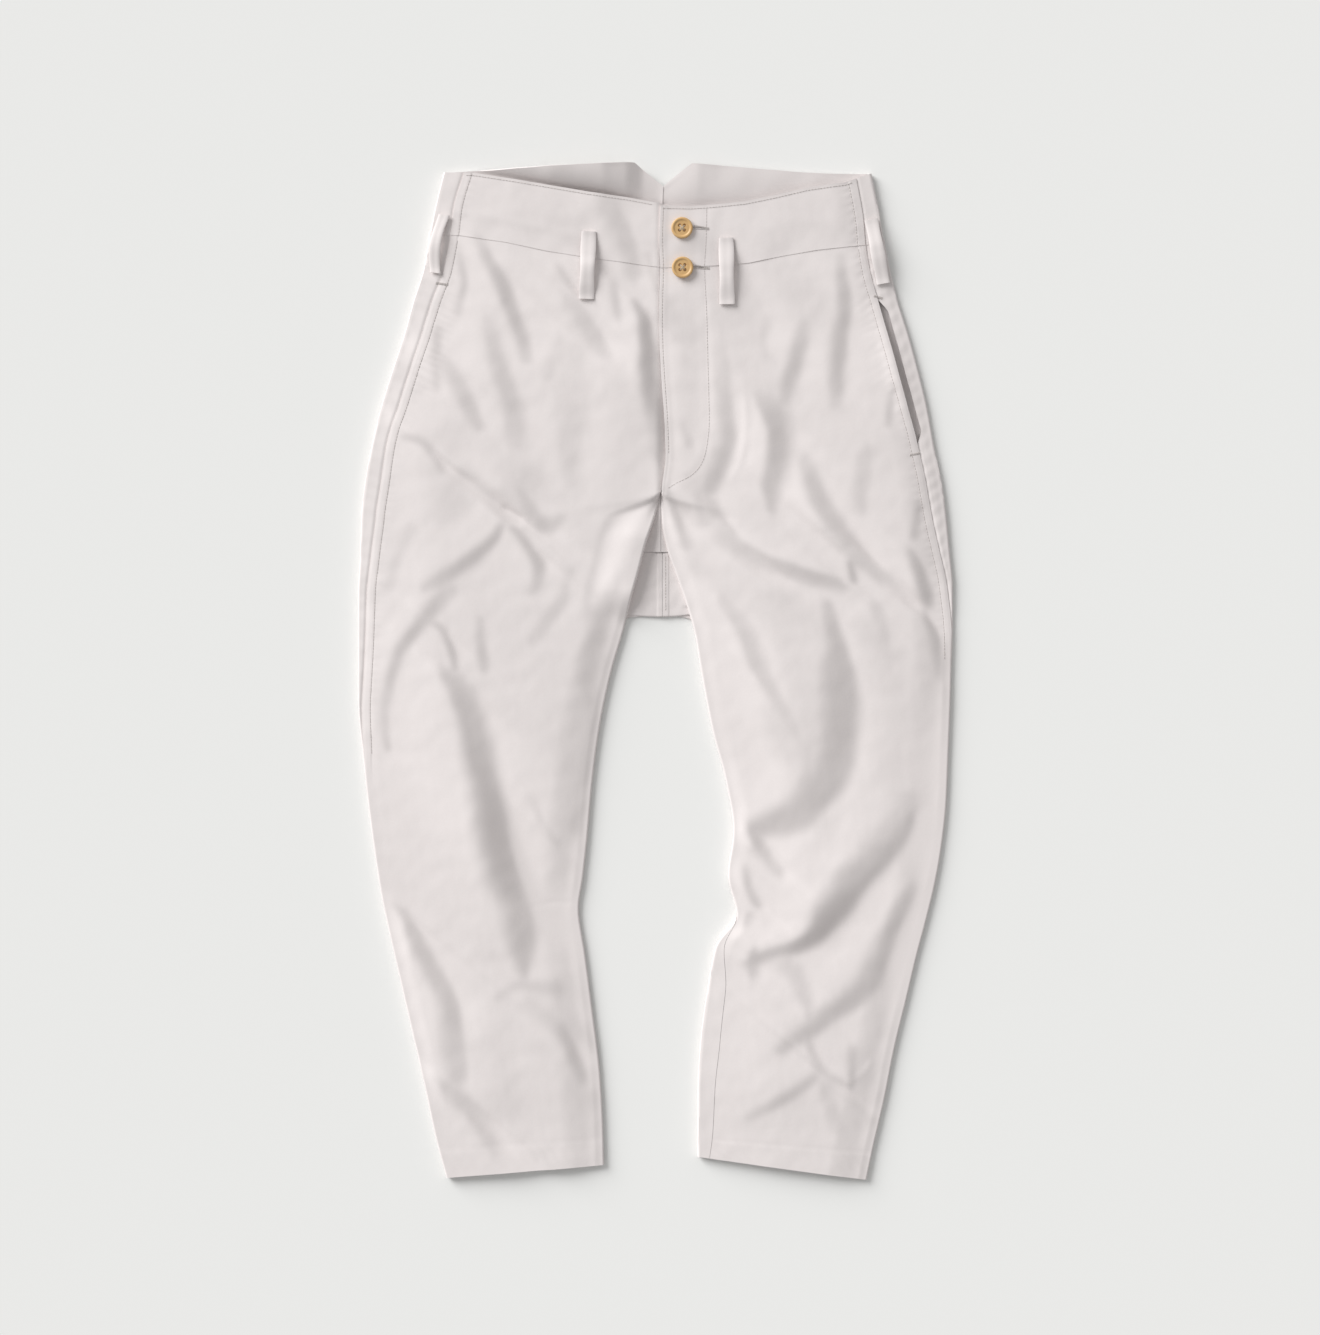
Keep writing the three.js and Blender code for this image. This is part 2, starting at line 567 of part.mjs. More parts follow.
function buttonGeometry() {
  const { radius, height, rim, dish, round, hole, hole_spread } = BUTTON;
  const profile = [
    [0, 0], [radius - round, 0], [radius, round], [radius, height - round],
    [radius - round, height], [radius - rim, height], [radius - rim - dish, height - dish], [0, height - dish],
  ].map(([r, z]) => new THREE.Vector2(r, z));
  let body = solid(new THREE.LatheGeometry(profile, 24).rotateX(Math.PI / 2));
  for (const x of [-hole_spread, hole_spread]) {
    for (const y of [-hole_spread, hole_spread]) {
      const drill = new THREE.CylinderGeometry(hole, hole, 3 * height, 8).rotateX(Math.PI / 2).translate(x, y, 0);
      body = body.subtract(solid(drill));
    }
  }
  return fromSolid(body);
}

for (const { name, x, y } of BUTTONS) {
  const button = addPiece(name, buttonGeometry(), MATERIALS.button);
  button.position.set(x, y, sheetHeight('left', x, y, Infinity, Infinity) + BAND / 2 + BUTTON.gap);
}

export default group;
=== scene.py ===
# Peg-top trousers lying flat, front up: cloth shells with seams, stitches, loops and buttons.
# Lengths are in millimetres until a mesh is made. +Y runs to the waist, +Z up, "right" is the wearer's.
import math
import bpy
import numpy as np
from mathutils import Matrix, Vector
from mathutils.bvhtree import BVHTree


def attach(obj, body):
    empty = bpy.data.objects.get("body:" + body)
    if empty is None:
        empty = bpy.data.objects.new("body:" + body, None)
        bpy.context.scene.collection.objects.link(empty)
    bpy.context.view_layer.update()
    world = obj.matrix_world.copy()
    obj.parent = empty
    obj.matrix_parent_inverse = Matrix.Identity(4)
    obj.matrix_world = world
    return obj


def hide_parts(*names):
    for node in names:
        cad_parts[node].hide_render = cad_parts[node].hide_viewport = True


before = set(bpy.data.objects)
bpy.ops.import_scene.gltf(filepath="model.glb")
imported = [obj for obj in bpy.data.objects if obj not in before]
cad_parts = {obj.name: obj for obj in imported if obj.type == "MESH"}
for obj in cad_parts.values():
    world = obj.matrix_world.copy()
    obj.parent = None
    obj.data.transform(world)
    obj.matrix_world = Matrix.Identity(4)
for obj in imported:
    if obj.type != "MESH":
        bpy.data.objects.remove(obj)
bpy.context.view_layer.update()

MM = 0.001

# Cloth walls, the gap between pieces at a seam, and the turn at an edge.
CLOTH = 1.1
BAND = 2.2
BAND_EDGE = 0.6
CLOTH_EDGE = 0.6
BAND_HEIGHT = 59.0
SEAM_GAP = 0.3
TURN = 0.9
HEM_DEPTH = 26.0
FLY_FOOT = 166.0
UNDERLAP_DROP = 2.9

# How high the upper sheet lies. An edge has its height, and how far in the sheet takes to reach its level.
LIT_EDGE = (5.8, 80.0)
SHADED_EDGE = (4.6, 40.0)
CROTCH_EDGE = (12.5, 110.0)
SHADED_ROLL = 1.3
WAIST_HEIGHT = 8.6
LEG_HEIGHT = 9.0
HEM_HEIGHT = 8.2
DOME_HEIGHT = 1.5
LOWEST = 3.4
FOLD_SHARE = 0.15

# Rows and columns of the cloth's grids.
ROWS_PER_SECTION = 15
FRONT_COLUMNS = 122
STRIP_COLUMNS = 18
EDGE_COLUMNS = 14

# Sewing: how far the stitches lie from an edge, the size of one stitch, and the side seam's form.
SEAM_STITCH = 7.6
FLY_STITCH = 3.0
TOP_STITCH = 2.6
THREAD_RADIUS = 0.24
STITCH_LENGTH = 2.0
STITCH_PITCH = 2.9
LAP_HEIGHT = 0.22
GROOVE_DEPTH = 0.12
PUCKER_HEIGHT = 0.1

# Plan units: 0.95 mm each, read off from the left and downwards.
PLAN = 0.95
PLAN_MIDDLE = (656.0, 672.0)
AWAY_FROM_LIGHT = (0.766, -0.643)
SIGN = {"right": -1, "left": 1}


def plan(points):
    return [((x - PLAN_MIDDLE[0]) * PLAN, (PLAN_MIDDLE[1] - y) * PLAN) for x, y in points]


# Leg sections from the waist seam to the hem: the outer edge, where the front and the back panel end
# at the middle or on the inner leg, the side seam's place from the outer edge, the inner seam's place
# past the inner edge, and how far each panel turns round the inner edge.
LEG_COLUMNS = "outer_x outer_y front_x front_y back_x back_y seam end front_roll back_roll".split()
LEGS = {
    "right": [
        (-215, 416, 29, 383, 6, 384, 20, 0, 0, 0),
        (-221, 382, 29, 349, 6, 352, 19, 0, 0, 0),
        (-230, 353, 29, 320, 6, 325, 17, 0, 0, 0),
        (-239, 320, 29, 289, 6, 293, 16, 0, 0, 0),
        (-249, 290, 29, 262, 6, 266, 16, 0, 0, 0),
        (-259, 258, 29, 234, 6, 236, 16, 0, 0, 0),
        (-269, 220, 25, 205, 6, 202, 14, 0, 0, 0),
        (-276, 182, 4.6, 171, 6, 168, 15, 0, 0, 0),
        (-280, 147, -2, 146, 6, 130, 14, 1.7, 1, 0),
        (-281, 110, -10, 122, 6, 95, 10.5, 1.7, 1, 0),
        (-283, 73, -17, 95, 6, 62, 8.5, 1.7, 1, 0),
        (-283, 38, -24, 70, -8, 54, 7.5, 1.7, 1, 0),
        (-283, 5, -32, 38, -26, 52, 6, 1.7, 1, 0.1),
        (-283, -27, -43, 0, -43, 0, 4, 1.7, 1, 1),
        (-279, -74, -54, -52, -54, -52, 1, 1.7, 1, 1),
        (-274, -122, -61, -104, -61, -104, -1.7, 1.7, 1, 1),
        (-267, -175, -66, -160, -66, -160, -1.7, 1.7, 1, 1),
        (-261, -212, -70, -196, -70, -196, -1.7, 1.7, 1, 1),
        (-254, -245, -74, -226, -74, -226, -1.7, 1.7, 1, 1),
        (-246, -280, -68, -268, -68, -268, -1.7, 1.7, 1, 1),
        (-234, -332, -61, -322, -61, -322, -1.7, 1.7, 1, 1),
        (-221, -388, -54, -380, -54, -380, -1.7, 1.7, 1, 1),
        (-210, -440, -51, -430, -51, -430, -1.7, 1.7, 1, 1),
        (-199, -481, -50, -469, -50, -469, -1.7, 1.7, 1, 1),
    ],
    "left": [
        (217, 408, 4, 384, 6, 384, 18, 0, 0, 0),
        (223, 380, 3, 352, 6, 354, 19, 0, 0, 0),
        (230, 352, 3, 324, 6, 326, 18, 0, 0, 0),
        (240, 320, 4, 296, 6, 296, 19, 0, 0, 0),
        (249, 287, 6, 266, 6, 266, 19, 0, 0, 0),
        (257, 254, 8, 236, 6, 234, 18, 0, 0, 0),
        (264, 216, 9, 205, 6, 200, 15, 0, 0, 0),
        (272, 178, 5.3, 171, 6, 166, 15, 0, 0, 0),
        (276, 147, 6, 143, 6, 130, 13.5, 1.7, 1, 0),
        (279, 115, 11, 117, 6, 95, 9.5, 1.7, 1, 0),
        (282, 80, 20, 92, 6, 62, 5, 1.7, 1, 0),
        (282, 45, 29, 66, 18, 54, 1, 1.7, 1, 0),
        (281, 8, 37, 38, 33, 50, -1, 1.7, 1, 0.1),
        (280, -27, 43, 2, 43, 2, -1.7, 1.7, 1, 1),
        (278, -80, 54, -55, 54, -55, -1.7, 1.7, 1, 1),
        (276, -126, 66, -100, 66, -100, -1.7, 1.7, 1, 1),
        (271, -170, 74, -150, 74, -150, -1.7, 1.7, 1, 1),
        (265, -203, 69, -192, 69, -192, -1.7, 1.7, 1, 1),
        (257, -236, 77, -230, 77, -230, -1.7, 0, 1, 1),
        (248, -270, 57, -262, 57, -262, -1.7, -8, 1, 1),
        (238, -312, 49, -304, 49, -304, -1.7, -17, 1, 1),
        (227, -357, 43, -350, 43, -350, -1.7, -18, 1, 1),
        (217, -407, 40, -398, 40, -398, -1.7, -16, 1, 1),
        (207, -450, 40, -438, 40, -438, -1.7, -14, 1, 1),
        (200, -483, 40, -461, 40, -461, -1.7, -11, 1, 1),
    ],
}

# Waistband sections from the waist seam to the top edge, with the same columns.
BANDS = {
    "right": [
        LEGS["right"][0],
        (-208, 446, 29, 413, 6, 423, 17, 0, 0, 0),
        (-201, 475, 29, 441, 7, 462, 19, 0, 0, 0),
    ],
    "left": [
        LEGS["left"][0],
        (211, 440, 3, 413, 6, 423, 15, 0, 0, 0),
        (204, 474, 4, 443, 7, 462, 14, 0, 0, 0),
    ],
}

# How far the waist seam and the two top edges bow from straight, from the outer edge (0) to the
# middle (1), in mm.
BOW_COLUMNS = "across right_seam right_front right_back left_seam left_front left_back".split()
BOWS = np.array([
    (0, 0, 0, 0, 0, 0, 0),
    (0.12, 2.5, 3.5, 5.9, 0, -5, 3.8),
    (0.3, 2, 3, 12.9, 0, -4.5, 9.4),
    (0.45, -1, 2, 16.9, -2, -7, 13.8),
    (0.6, -2, 1, 18.9, -5, -8.5, 17),
    (0.75, -2, 1.5, 20.3, -4, -7, 19.4),
    (0.86, -2, 0.5, 21.2, -2.5, -5, 20.9),
    (1, 0, 0, 0, 0, 0, 0),
])

# The open side pocket: where it runs along the outer edge, how wide it gapes and how high its edge stands.
POCKET = {"side": "left", "top": 358.0, "bottom": 196.0, "gape": 6.5, "lift": 4.5}

# Large folds along their crests (height above 0) and troughs: height, width left of the run, width
# right, points. The sheet takes FOLD_SHARE of each height, as the slopes below hold the rest.
LARGE_FOLDS = {
    "right": [
        (5, 26, 50, [(-215, -8), (-199, -60), (-179, -122), (-169, -169), (-156, -207), (-136, -272)]),
        (-3, 26, 15, [(-194, -14), (-171, -63), (-151, -112), (-145, -155), (-137, -188), (-124, -212)]),
        (2.5, 40, 40, [(-129, -46), (-115, -103), (-102, -160), (-91, -217)]),
        (4, 36, 24, [(-245, -221), (-229, -264), (-213, -312), (-200, -369), (-191, -416)]),
        (3, 18, 20, [(-205, 83), (-224, 59), (-243, 35), (-257, 8), (-266, -30)]),
        (3, 18, 30, [(-153, 146), (-177, 121), (-205, 99), (-229, 83)]),
        (3, 28, 16, [(-196, 203), (-172, 188), (-148, 171), (-127, 156)]),
        (3, 24, 30, [(-169, 353), (-163, 306), (-156, 258), (-150, 220)]),
        (3, 18, 40, [(-32, 353), (-23, 320), (-19, 282), (-13, 249), (-6, 225)]),
        (2.5, 22, 40, [(-42, 110), (-57, 70), (-63, 43), (-80, 15), (-91, -17)]),
    ],
    "left": [
        (6, 26, 24, [(57, 163), (80, 135), (113, 110), (146, 95), (173, 86)]),
        (3, 26, 36, [(127, 334), (118, 296), (106, 258), (99, 211), (91, 173)]),
        (2.5, 22, 18, [(53, 277), (53, 230), (46, 197), (32, 171)]),
        (4, 50, 45, [(75, 92), (89, 49), (106, 7), (127, -36), (142, -74)]),
        (-3, 30, 40, [(167, 47), (177, 11), (180, -28), (177, -69), (163, -117)]),
        (3, 30, 40, [(203, 30), (218, -27), (213, -84), (205, -122)]),
        (7, 24, 50, [(243, -129), (222, -158), (196, -186), (173, -212), (146, -234), (123, -247)]),
        (-3, 26, 14, [(237, -164), (208, -202), (184, -228), (161, -255), (127, -269), (94, -270)]),
        (3, 20, 30, [(142, -76), (127, -112), (104, -136), (87, -148)]),
        (3.5, 24, 30, [(225, -202), (215, -231), (201, -259), (184, -285), (163, -310), (123, -340)]),
    ],
}

# Where the cloth slopes away from the light, as strokes in plan units. Each point is a place, the
# slope's reach on the side towards the light and on the other side, and how steep it is there.
SLOPES = [
    # Front of the right thigh and hip
    [(478, 240, 6, 6, .08), (490, 262, 8, 7, .14), (502, 285, 8, 9, .18), (511, 308, 9, 9, .18),
     (519, 330, 9, 8, .16), (527, 358, 7, 7, .1)],
    [(488, 322, 10, 8, .05), (500, 365, 12, 9, .1), (511, 400, 12, 12, .11), (517, 440, 12, 14, .08)],
    [(440, 360, 8, 8, .08), (455, 378, 12, 10, .12), (468, 402, 10, 9, .14), (478, 425, 7, 7, .1)],
    [(461, 255, 4, 4, .08), (464, 285, 5, 4, .14), (458, 312, 4, 4, .08)],
    [(440, 330, 6, 5, .1), (436, 360, 6, 5, .12), (437, 388, 4, 4, .1)],
    [(556, 266, 4, 4, .07), (570, 283, 5, 4, .09), (580, 298, 4, 4, .06)],
    [(570, 300, 14, 8, .06), (585, 318, 16, 8, .12), (598, 338, 14, 7, .13), (608, 357, 6, 6, .08)],
    [(612, 284, 4, 4, .08), (616, 305, 6, 5, .14), (618, 320, 4, 4, .08)],
    [(612, 205, 18, 10, .08), (628, 240, 16, 8, .11), (636, 270, 14, 8, .1)],
    [(648, 255, 5, 4, .08), (655, 290, 4, 4, .08)],
    [(634, 303, 5, 5, .12), (645, 320, 8, 6, .27), (649, 345, 10, 7, .31), (650, 370, 14, 7, .3),
     (653, 395, 16, 8, .25), (660, 420, 18, 6, .16), (662, 450, 18, 5, .1)],
    [(630, 380, 30, 16, .05), (640, 430, 34, 16, .06), (640, 480, 30, 14, .04)],
    [(575, 350, 10, 10, .05), (572, 400, 20, 22, .05), (570, 450, 14, 14, .07), (572, 480, 10, 10, .05)],
    [(562, 345, 10, 8, .05), (550, 375, 10, 8, .07)],
    [(404, 437, 3, 5, .1), (420, 441, 4, 7, .15), (433, 455, 5, 8, .16), (441, 472, 5, 7, .12)],
    [(445, 462, 10, 6, .06), (465, 476, 10, 6, .08), (485, 490, 7, 5, .1), (503, 505, 4, 3, .14),
     (520, 517, 3, 3, .1)],
    [(520, 492, 6, 6, .1), (532, 512, 10, 10, .14), (548, 528, 10, 8, .13), (560, 518, 5, 6, .06)],
    [(512, 527, 5, 4, .12), (527, 545, 7, 6, .17), (540, 563, 8, 6, .17), (538, 580, 7, 7, .12),
     (532, 592, 5, 5, .07)],
    [(502, 522, 4, 4, .15), (496, 538, 6, 5, .17), (480, 552, 8, 7, .16), (462, 566, 8, 8, .14),
     (442, 580, 8, 8, .11), (425, 588, 6, 6, .08)],
    [(450, 592, 10, 8, .07), (435, 608, 12, 8, .12), (418, 628, 9, 7, .15), (402, 650, 8, 6, .16),
     (390, 680, 6, 6, .12), (384, 720, 6, 6, .09), (388, 748, 4, 4, .12)],
    [(430, 622, 4, 4, .1), (443, 630, 4, 4, .14), (452, 650, 5, 4, .17), (455, 668, 4, 4, .14)],
    [(481, 620, 5, 5, .08), (481, 645, 7, 6, .12), (484, 668, 6, 5, .12)],
    [(571, 572, 7, 5, .06), (563, 598, 8, 7, .09), (549, 620, 8, 7, .09), (532, 640, 7, 7, .06)],
    [(622, 560, 4, 8, .03), (612, 590, 8, 8, .07), (606, 605, 10, 8, .08), (595, 640, 12, 10, .05),
     (585, 670, 10, 12, .04), (590, 700, 6, 12, .03)],
    [(412, 530, 8, 6, .05), (398, 555, 6, 6, .06), (388, 585, 6, 6, .07)],
    # Right lower leg
    [(440, 672, 4, 8, .1), (455, 690, 8, 16, .17), (468, 715, 12, 18, .2), (476, 745, 16, 18, .21),
     (486, 775, 20, 14, .23), (495, 805, 24, 12, .28), (502, 835, 28, 12, .31), (508, 862, 28, 12, .31),
     (516, 885, 26, 12, .27), (524, 905, 26, 14, .2), (524, 935, 20, 14, .19), (524, 960, 12, 8, .17),
     (524, 975, 5, 5, .1)],
    [(530, 797, 4, 4, .04), (545, 828, 5, 4, .06), (558, 843, 4, 4, .05)],
    [(497, 998, 3, 4, .1), (508, 990, 4, 4, .09), (530, 985, 6, 6, .06), (556, 990, 10, 10, .09)],
    [(530, 1005, 10, 8, .05), (552, 1022, 10, 7, .08), (568, 1042, 8, 7, .12), (577, 1065, 8, 7, .11),
     (585, 1082, 6, 5, .06)],
    [(388, 900, 4, 4, .05), (404, 915, 6, 6, .12), (418, 942, 10, 10, .15), (432, 970, 12, 10, .16),
     (448, 995, 14, 8, .16), (455, 1020, 18, 8, .17), (455, 1045, 18, 12, .14), (460, 1075, 16, 10, .12)],
    [(432, 1078, 4, 6, .1), (448, 1092, 8, 10, .14), (468, 1108, 10, 12, .15), (485, 1128, 12, 12, .12),
     (495, 1150, 10, 10, .08)],
    [(485, 1050, 20, 30, .05), (500, 1100, 24, 30, .05)],
    [(596, 720, 6, 10, .06), (585, 790, 8, 8, .08), (580, 830, 10, 8, .1)],
    # Left hip and thigh
    [(842, 258, 6, 5, .08), (845, 290, 10, 6, .16), (846, 315, 12, 6, .19), (842, 345, 14, 7, .19),
     (838, 375, 12, 8, .17), (836, 402, 8, 8, .08)],
    [(806, 325, 10, 8, .08), (800, 350, 12, 8, .15), (790, 380, 10, 9, .15), (783, 402, 8, 8, .1)],
    [(758, 402, 4, 16, .12), (768, 418, 6, 22, .18), (774, 440, 8, 20, .21), (774, 465, 10, 18, .2),
     (768, 485, 8, 16, .18), (770, 508, 5, 10, .12)],
    [(724, 330, 10, 6, .05), (726, 375, 14, 6, .1), (728, 410, 14, 7, .13), (731, 440, 14, 6, .17),
     (724, 465, 16, 6, .17), (712, 490, 14, 6, .15)],
    [(674, 300, 8, 6, .07), (676, 340, 8, 6, .07)],
    [(683, 425, 6, 6, .1), (689, 445, 6, 6, .13)],
    [(668, 495, 3, 6, .14), (676, 520, 5, 8, .18), (684, 545, 5, 10, .12)],
    [(695, 495, 6, 10, .1), (706, 520, 10, 12, .12)],
    [(712, 505, 8, 16, .12), (730, 533, 6, 18, .15), (755, 553, 6, 16, .15), (785, 566, 6, 14, .14),
     (815, 575, 5, 14, .14), (838, 582, 4, 12, .14)],
    [(803, 462, 6, 10, .1), (815, 490, 12, 12, .17), (832, 520, 14, 12, .18), (850, 545, 12, 12, .19),
     (872, 568, 8, 9, .19), (892, 585, 7, 8, .16), (910, 600, 6, 8, .1)],
    [(850, 562, 3, 5, .2), (853, 580, 3, 5, .2)],
    [(868, 450, 10, 8, .06), (862, 480, 10, 8, .09), (860, 510, 8, 8, .07)],
    [(893, 385, 3, 4, .12), (888, 425, 3, 4, .13)],
    [(919, 505, 5, 3, .14), (915, 535, 6, 3, .13)],
    [(912, 552, 8, 4, .14), (922, 575, 10, 5, .2), (930, 600, 10, 6, .2), (934, 625, 8, 6, .15),
     (943, 675, 8, 6, .1)],
    [(766, 320, 8, 6, .06), (763, 350, 8, 6, .08), (775, 365, 6, 6, .05)],
    [(722, 600, 6, 14, .1), (742, 635, 7, 18, .14), (757, 670, 6, 16, .15), (772, 698, 6, 14, .13),
     (795, 735, 5, 14, .11), (808, 760, 4, 14, .11), (800, 785, 6, 14, .11)],
    [(790, 610, 30, 30, .09), (800, 660, 30, 24, .09), (812, 720, 24, 20, .11), (812, 780, 16, 20, .12)],
    [(828, 608, 10, 8, .15), (838, 645, 18, 10, .22), (846, 680, 34, 14, .27), (848, 710, 36, 16, .28),
     (845, 745, 34, 16, .27), (838, 775, 34, 16, .24), (822, 800, 30, 12, .22), (800, 818, 26, 14, .19),
     (770, 826, 20, 14, .18), (750, 830, 8, 10, .2)],
    [(749, 830, 4, 12, .2), (760, 850, 6, 10, .18), (778, 872, 6, 8, .12)],
    [(875, 605, 8, 6, .07), (882, 630, 8, 8, .09), (886, 655, 8, 8, .08)],
    [(880, 660, 30, 30, .05), (885, 720, 30, 30, .05), (900, 780, 24, 20, .05)],
    [(905, 800, 14, 16, .13), (890, 825, 16, 16, .13), (870, 850, 18, 14, .13)],
    # Broad, faint slopes on both sides
    [(700, 560, 16, 20, .06), (750, 600, 20, 24, .075), (800, 620, 34, 34, .075), (820, 680, 34, 34, .08)],
    [(870, 640, 26, 26, .06), (890, 740, 36, 34, .07), (880, 800, 34, 30, .07), (860, 900, 30, 30, .05)],
    [(830, 830, 20, 24, .04), (810, 870, 20, 20, .04)],
    [(440, 440, 24, 24, .05), (452, 500, 26, 26, .06)],
    [(500, 500, 20, 20, .07), (530, 480, 24, 20, .06)],
    [(700, 440, 20, 20, .06), (690, 500, 16, 16, .06)],
    [(780, 720, 24, 24, .08), (800, 760, 20, 20, .07)],
    [(700, 250, 26, 26, .05), (730, 300, 30, 26, .06), (760, 380, 30, 26, .05)],
    [(688, 300, 18, 18, .05), (690, 350, 20, 20, .08), (692, 420, 20, 20, .08)],
    [(780, 265, 24, 24, .05), (815, 310, 22, 22, .055)],
    # Left lower leg
    [(914, 824, 22, 6, .2), (898, 845, 26, 8, .2), (878, 868, 30, 8, .21), (858, 888, 30, 9, .24),
     (842, 908, 26, 12, .32), (825, 926, 18, 12, .33), (806, 942, 10, 9, .28), (785, 950, 8, 8, .2),
     (765, 954, 6, 10, .2), (752, 958, 4, 12, .22)],
    [(751, 952, 3, 8, .2), (750, 972, 4, 10, .16)],
    [(742, 868, 3, 6, .1), (748, 890, 4, 8, .14), (757, 905, 4, 6, .14)],
    [(748, 915, 4, 6, .17), (744, 922, 3, 6, .18)],
    [(918, 895, 16, 12, .1), (900, 925, 18, 12, .16), (885, 955, 18, 14, .17), (868, 985, 18, 12, .17),
     (848, 1005, 16, 10, .17), (815, 1028, 14, 8, .15), (782, 1050, 10, 6, .14)],
    [(775, 960, 12, 14, .08), (795, 975, 10, 12, .1), (805, 1000, 8, 10, .1)],
    [(851, 1050, 6, 6, .1), (851, 1086, 5, 5, .12)],
    [(815, 1078, 6, 5, .12), (786, 1098, 8, 6, .14), (750, 1118, 6, 5, .08)],
    [(823, 1086, 8, 8, .07), (839, 1130, 8, 8, .05)],
    [(808, 1010, 4, 4, .08), (810, 1045, 5, 4, .1), (825, 1072, 5, 4, .12), (843, 1086, 4, 4, .1)],
]

# Fine ridges (height above 0) and pinched lines (below 0) in plan units: height, half width in mm, points.
RIDGES = [
    (-1.2, 3.5, [(455, 468), (475, 482), (490, 494), (503, 506), (520, 517)]),
    (-0.8, 2.5, [(500, 505), (515, 514), (526, 519)]),
    (0.4, 4, [(497, 521), (512, 527), (530, 528)]),
    (-1.3, 2.2, [(530, 907), (552, 903), (577, 903)]),
    (0.4, 3, [(742, 380), (746, 420), (741, 460), (728, 486)]),
    (0.3, 1.6, [(668, 462), (679, 469), (689, 477)]),
    (0.2, 1.6, [(689, 477), (680, 483), (668, 488)]),
    (0.3, 2.5, [(843, 1086), (862, 1074), (875, 1058)]),
]

# How the slopes' heights are worked out: a step, how far out they go and how soon the cloth comes back
# to its level, what the strokes' reach and steepness are multiplied by, and the least reach. In mm.
FIELD_STEP = 1.5
FIELD_REACH = 580.0
FIELD_RECOVERY = 62.0
REACH_SHARE = 1.4
STEEP_SHARE = 1.7
LEAST_REACH = 1.5

# The fly's curved thread line, from the waistband's top edge down to the crotch, in mm.
FLY_CURVE = [
    (48, 440), (47.5, 412), (46, 386), (47, 360), (48, 340), (49, 300), (50, 261), (50, 229), (45, 202),
    (35, 188), (19, 179), (9, 173),
]

# How much the back waistband's inside rises above the front's top edge, along X.
BACK_RISE = np.array([
    (-201, 0.5), (-180, 4), (-150, 12), (-100, 17), (-50, 17), (-28, 12), (-14, 4), (6, 2.5), (25, 4.5),
    (40, 6), (60, 4), (90, 3), (150, 2.2), (185, 0.8), (207, 0.5),
])


def ease(t):
    s = np.clip(t, 0, 1)
    return s * s * (3 - 2 * s)


def mix(a, b, t):
    return a + (b - a) * t


def sample(rows, places):
    """Smooth curves through a table's rows that never swing past a row: one array of rows."""
    rows = np.array(rows, float)
    last = len(rows) - 1
    i = np.minimum(last - 1, np.floor(places).astype(int))
    t = (places - i)[:, None]
    step = np.diff(rows, axis=0)
    product = step[:-1] * step[1:]
    total = step[:-1] + step[1:]
    slope = np.zeros_like(rows)
    slope[0], slope[-1] = step[0], step[-1]
    slope[1:-1] = np.where(product > 0, 2 * product / np.where(product > 0, total, 1), 0)
    rise, a, b = step[i], slope[i], slope[i + 1]
    return rows[i] + a * t + (3 * rise - 2 * a - b) * t ** 2 + (a + b - 2 * rise) * t ** 3


def sections(table, steps):
    count = (len(table) - 1) * steps
    values = sample(table, np.linspace(0, len(table) - 1, count + 1))
    return {name: values[:, i] for i, name in enumerate(LEG_COLUMNS)}


def bow(name, across):
    return np.interp(across, BOWS[:, 0], BOWS[:, BOW_COLUMNS.index(name)])


def smooth_line(points, step=5.0):
    """A rounded run through a few points, as many short straight pieces."""
    points = np.array(points, float)
    padded = np.vstack([2 * points[0] - points[1], points, 2 * points[-1] - points[-2]])
    line = [points[0]]
    for p0, p1, p2, p3 in zip(padded, padded[1:], padded[2:], padded[3:]):
        count = max(1, int(np.linalg.norm((p2 - p1)[:2]) / step))
        for t in np.arange(1, count + 1) / count:
            bend = (2 * p0 - 5 * p1 + 4 * p2 - p3) * t * t + (3 * p1 - p0 - 3 * p2 + p3) * t ** 3
            line.append(p1 + ((p2 - p0) * t + bend) / 2)
    return np.array(line)


def run_distance(line, x, y):
    """Distance to a run, which side it is on (above 0: left), the place along it and its length."""
    nearest = np.full(x.shape, np.inf)
    side = np.zeros(x.shape)
    place = np.zeros(x.shape)
    travelled = 0.0
    for (ax, ay), (bx, by) in zip(line, line[1:]):
        length = math.hypot(bx - ax, by - ay)
        dx, dy = (bx - ax) / length, (by - ay) / length
        along = np.clip((x - ax) * dx + (y - ay) * dy, 0, length)
        ox, oy = x - ax - dx * along, y - ay - dy * along
        gap = np.hypot(ox, oy)
        closer = gap < nearest
        nearest = np.where(closer, gap, nearest)
        side = np.where(closer, oy * dx - ox * dy, side)
        place = np.where(closer, travelled + along, place)
        travelled += length
    return nearest, side, place, travelled


def near(line, x, y, reach):
    low, high = line.min(axis=0) - reach, line.max(axis=0) + reach
    return (x > low[0]) & (x < high[0]) & (y > low[1]) & (y < high[1])


def large_fold(fold, x, y):
    height, left, right, points = fold
    line = np.array(points, float)
    out = np.zeros(x.shape)
    mask = near(line, x, y, max(left, right))
    if mask.any():
        gap, side, place, length = run_distance(line, x[mask], y[mask])
        ends = ease(np.minimum(place, length - place) / (0.3 * length) + 0.25)
        t = gap / np.where(side > 0, left, right)
        out[mask] = height * ends * np.where(t < 1, (1 - t * t) ** 2, 0)
    return out


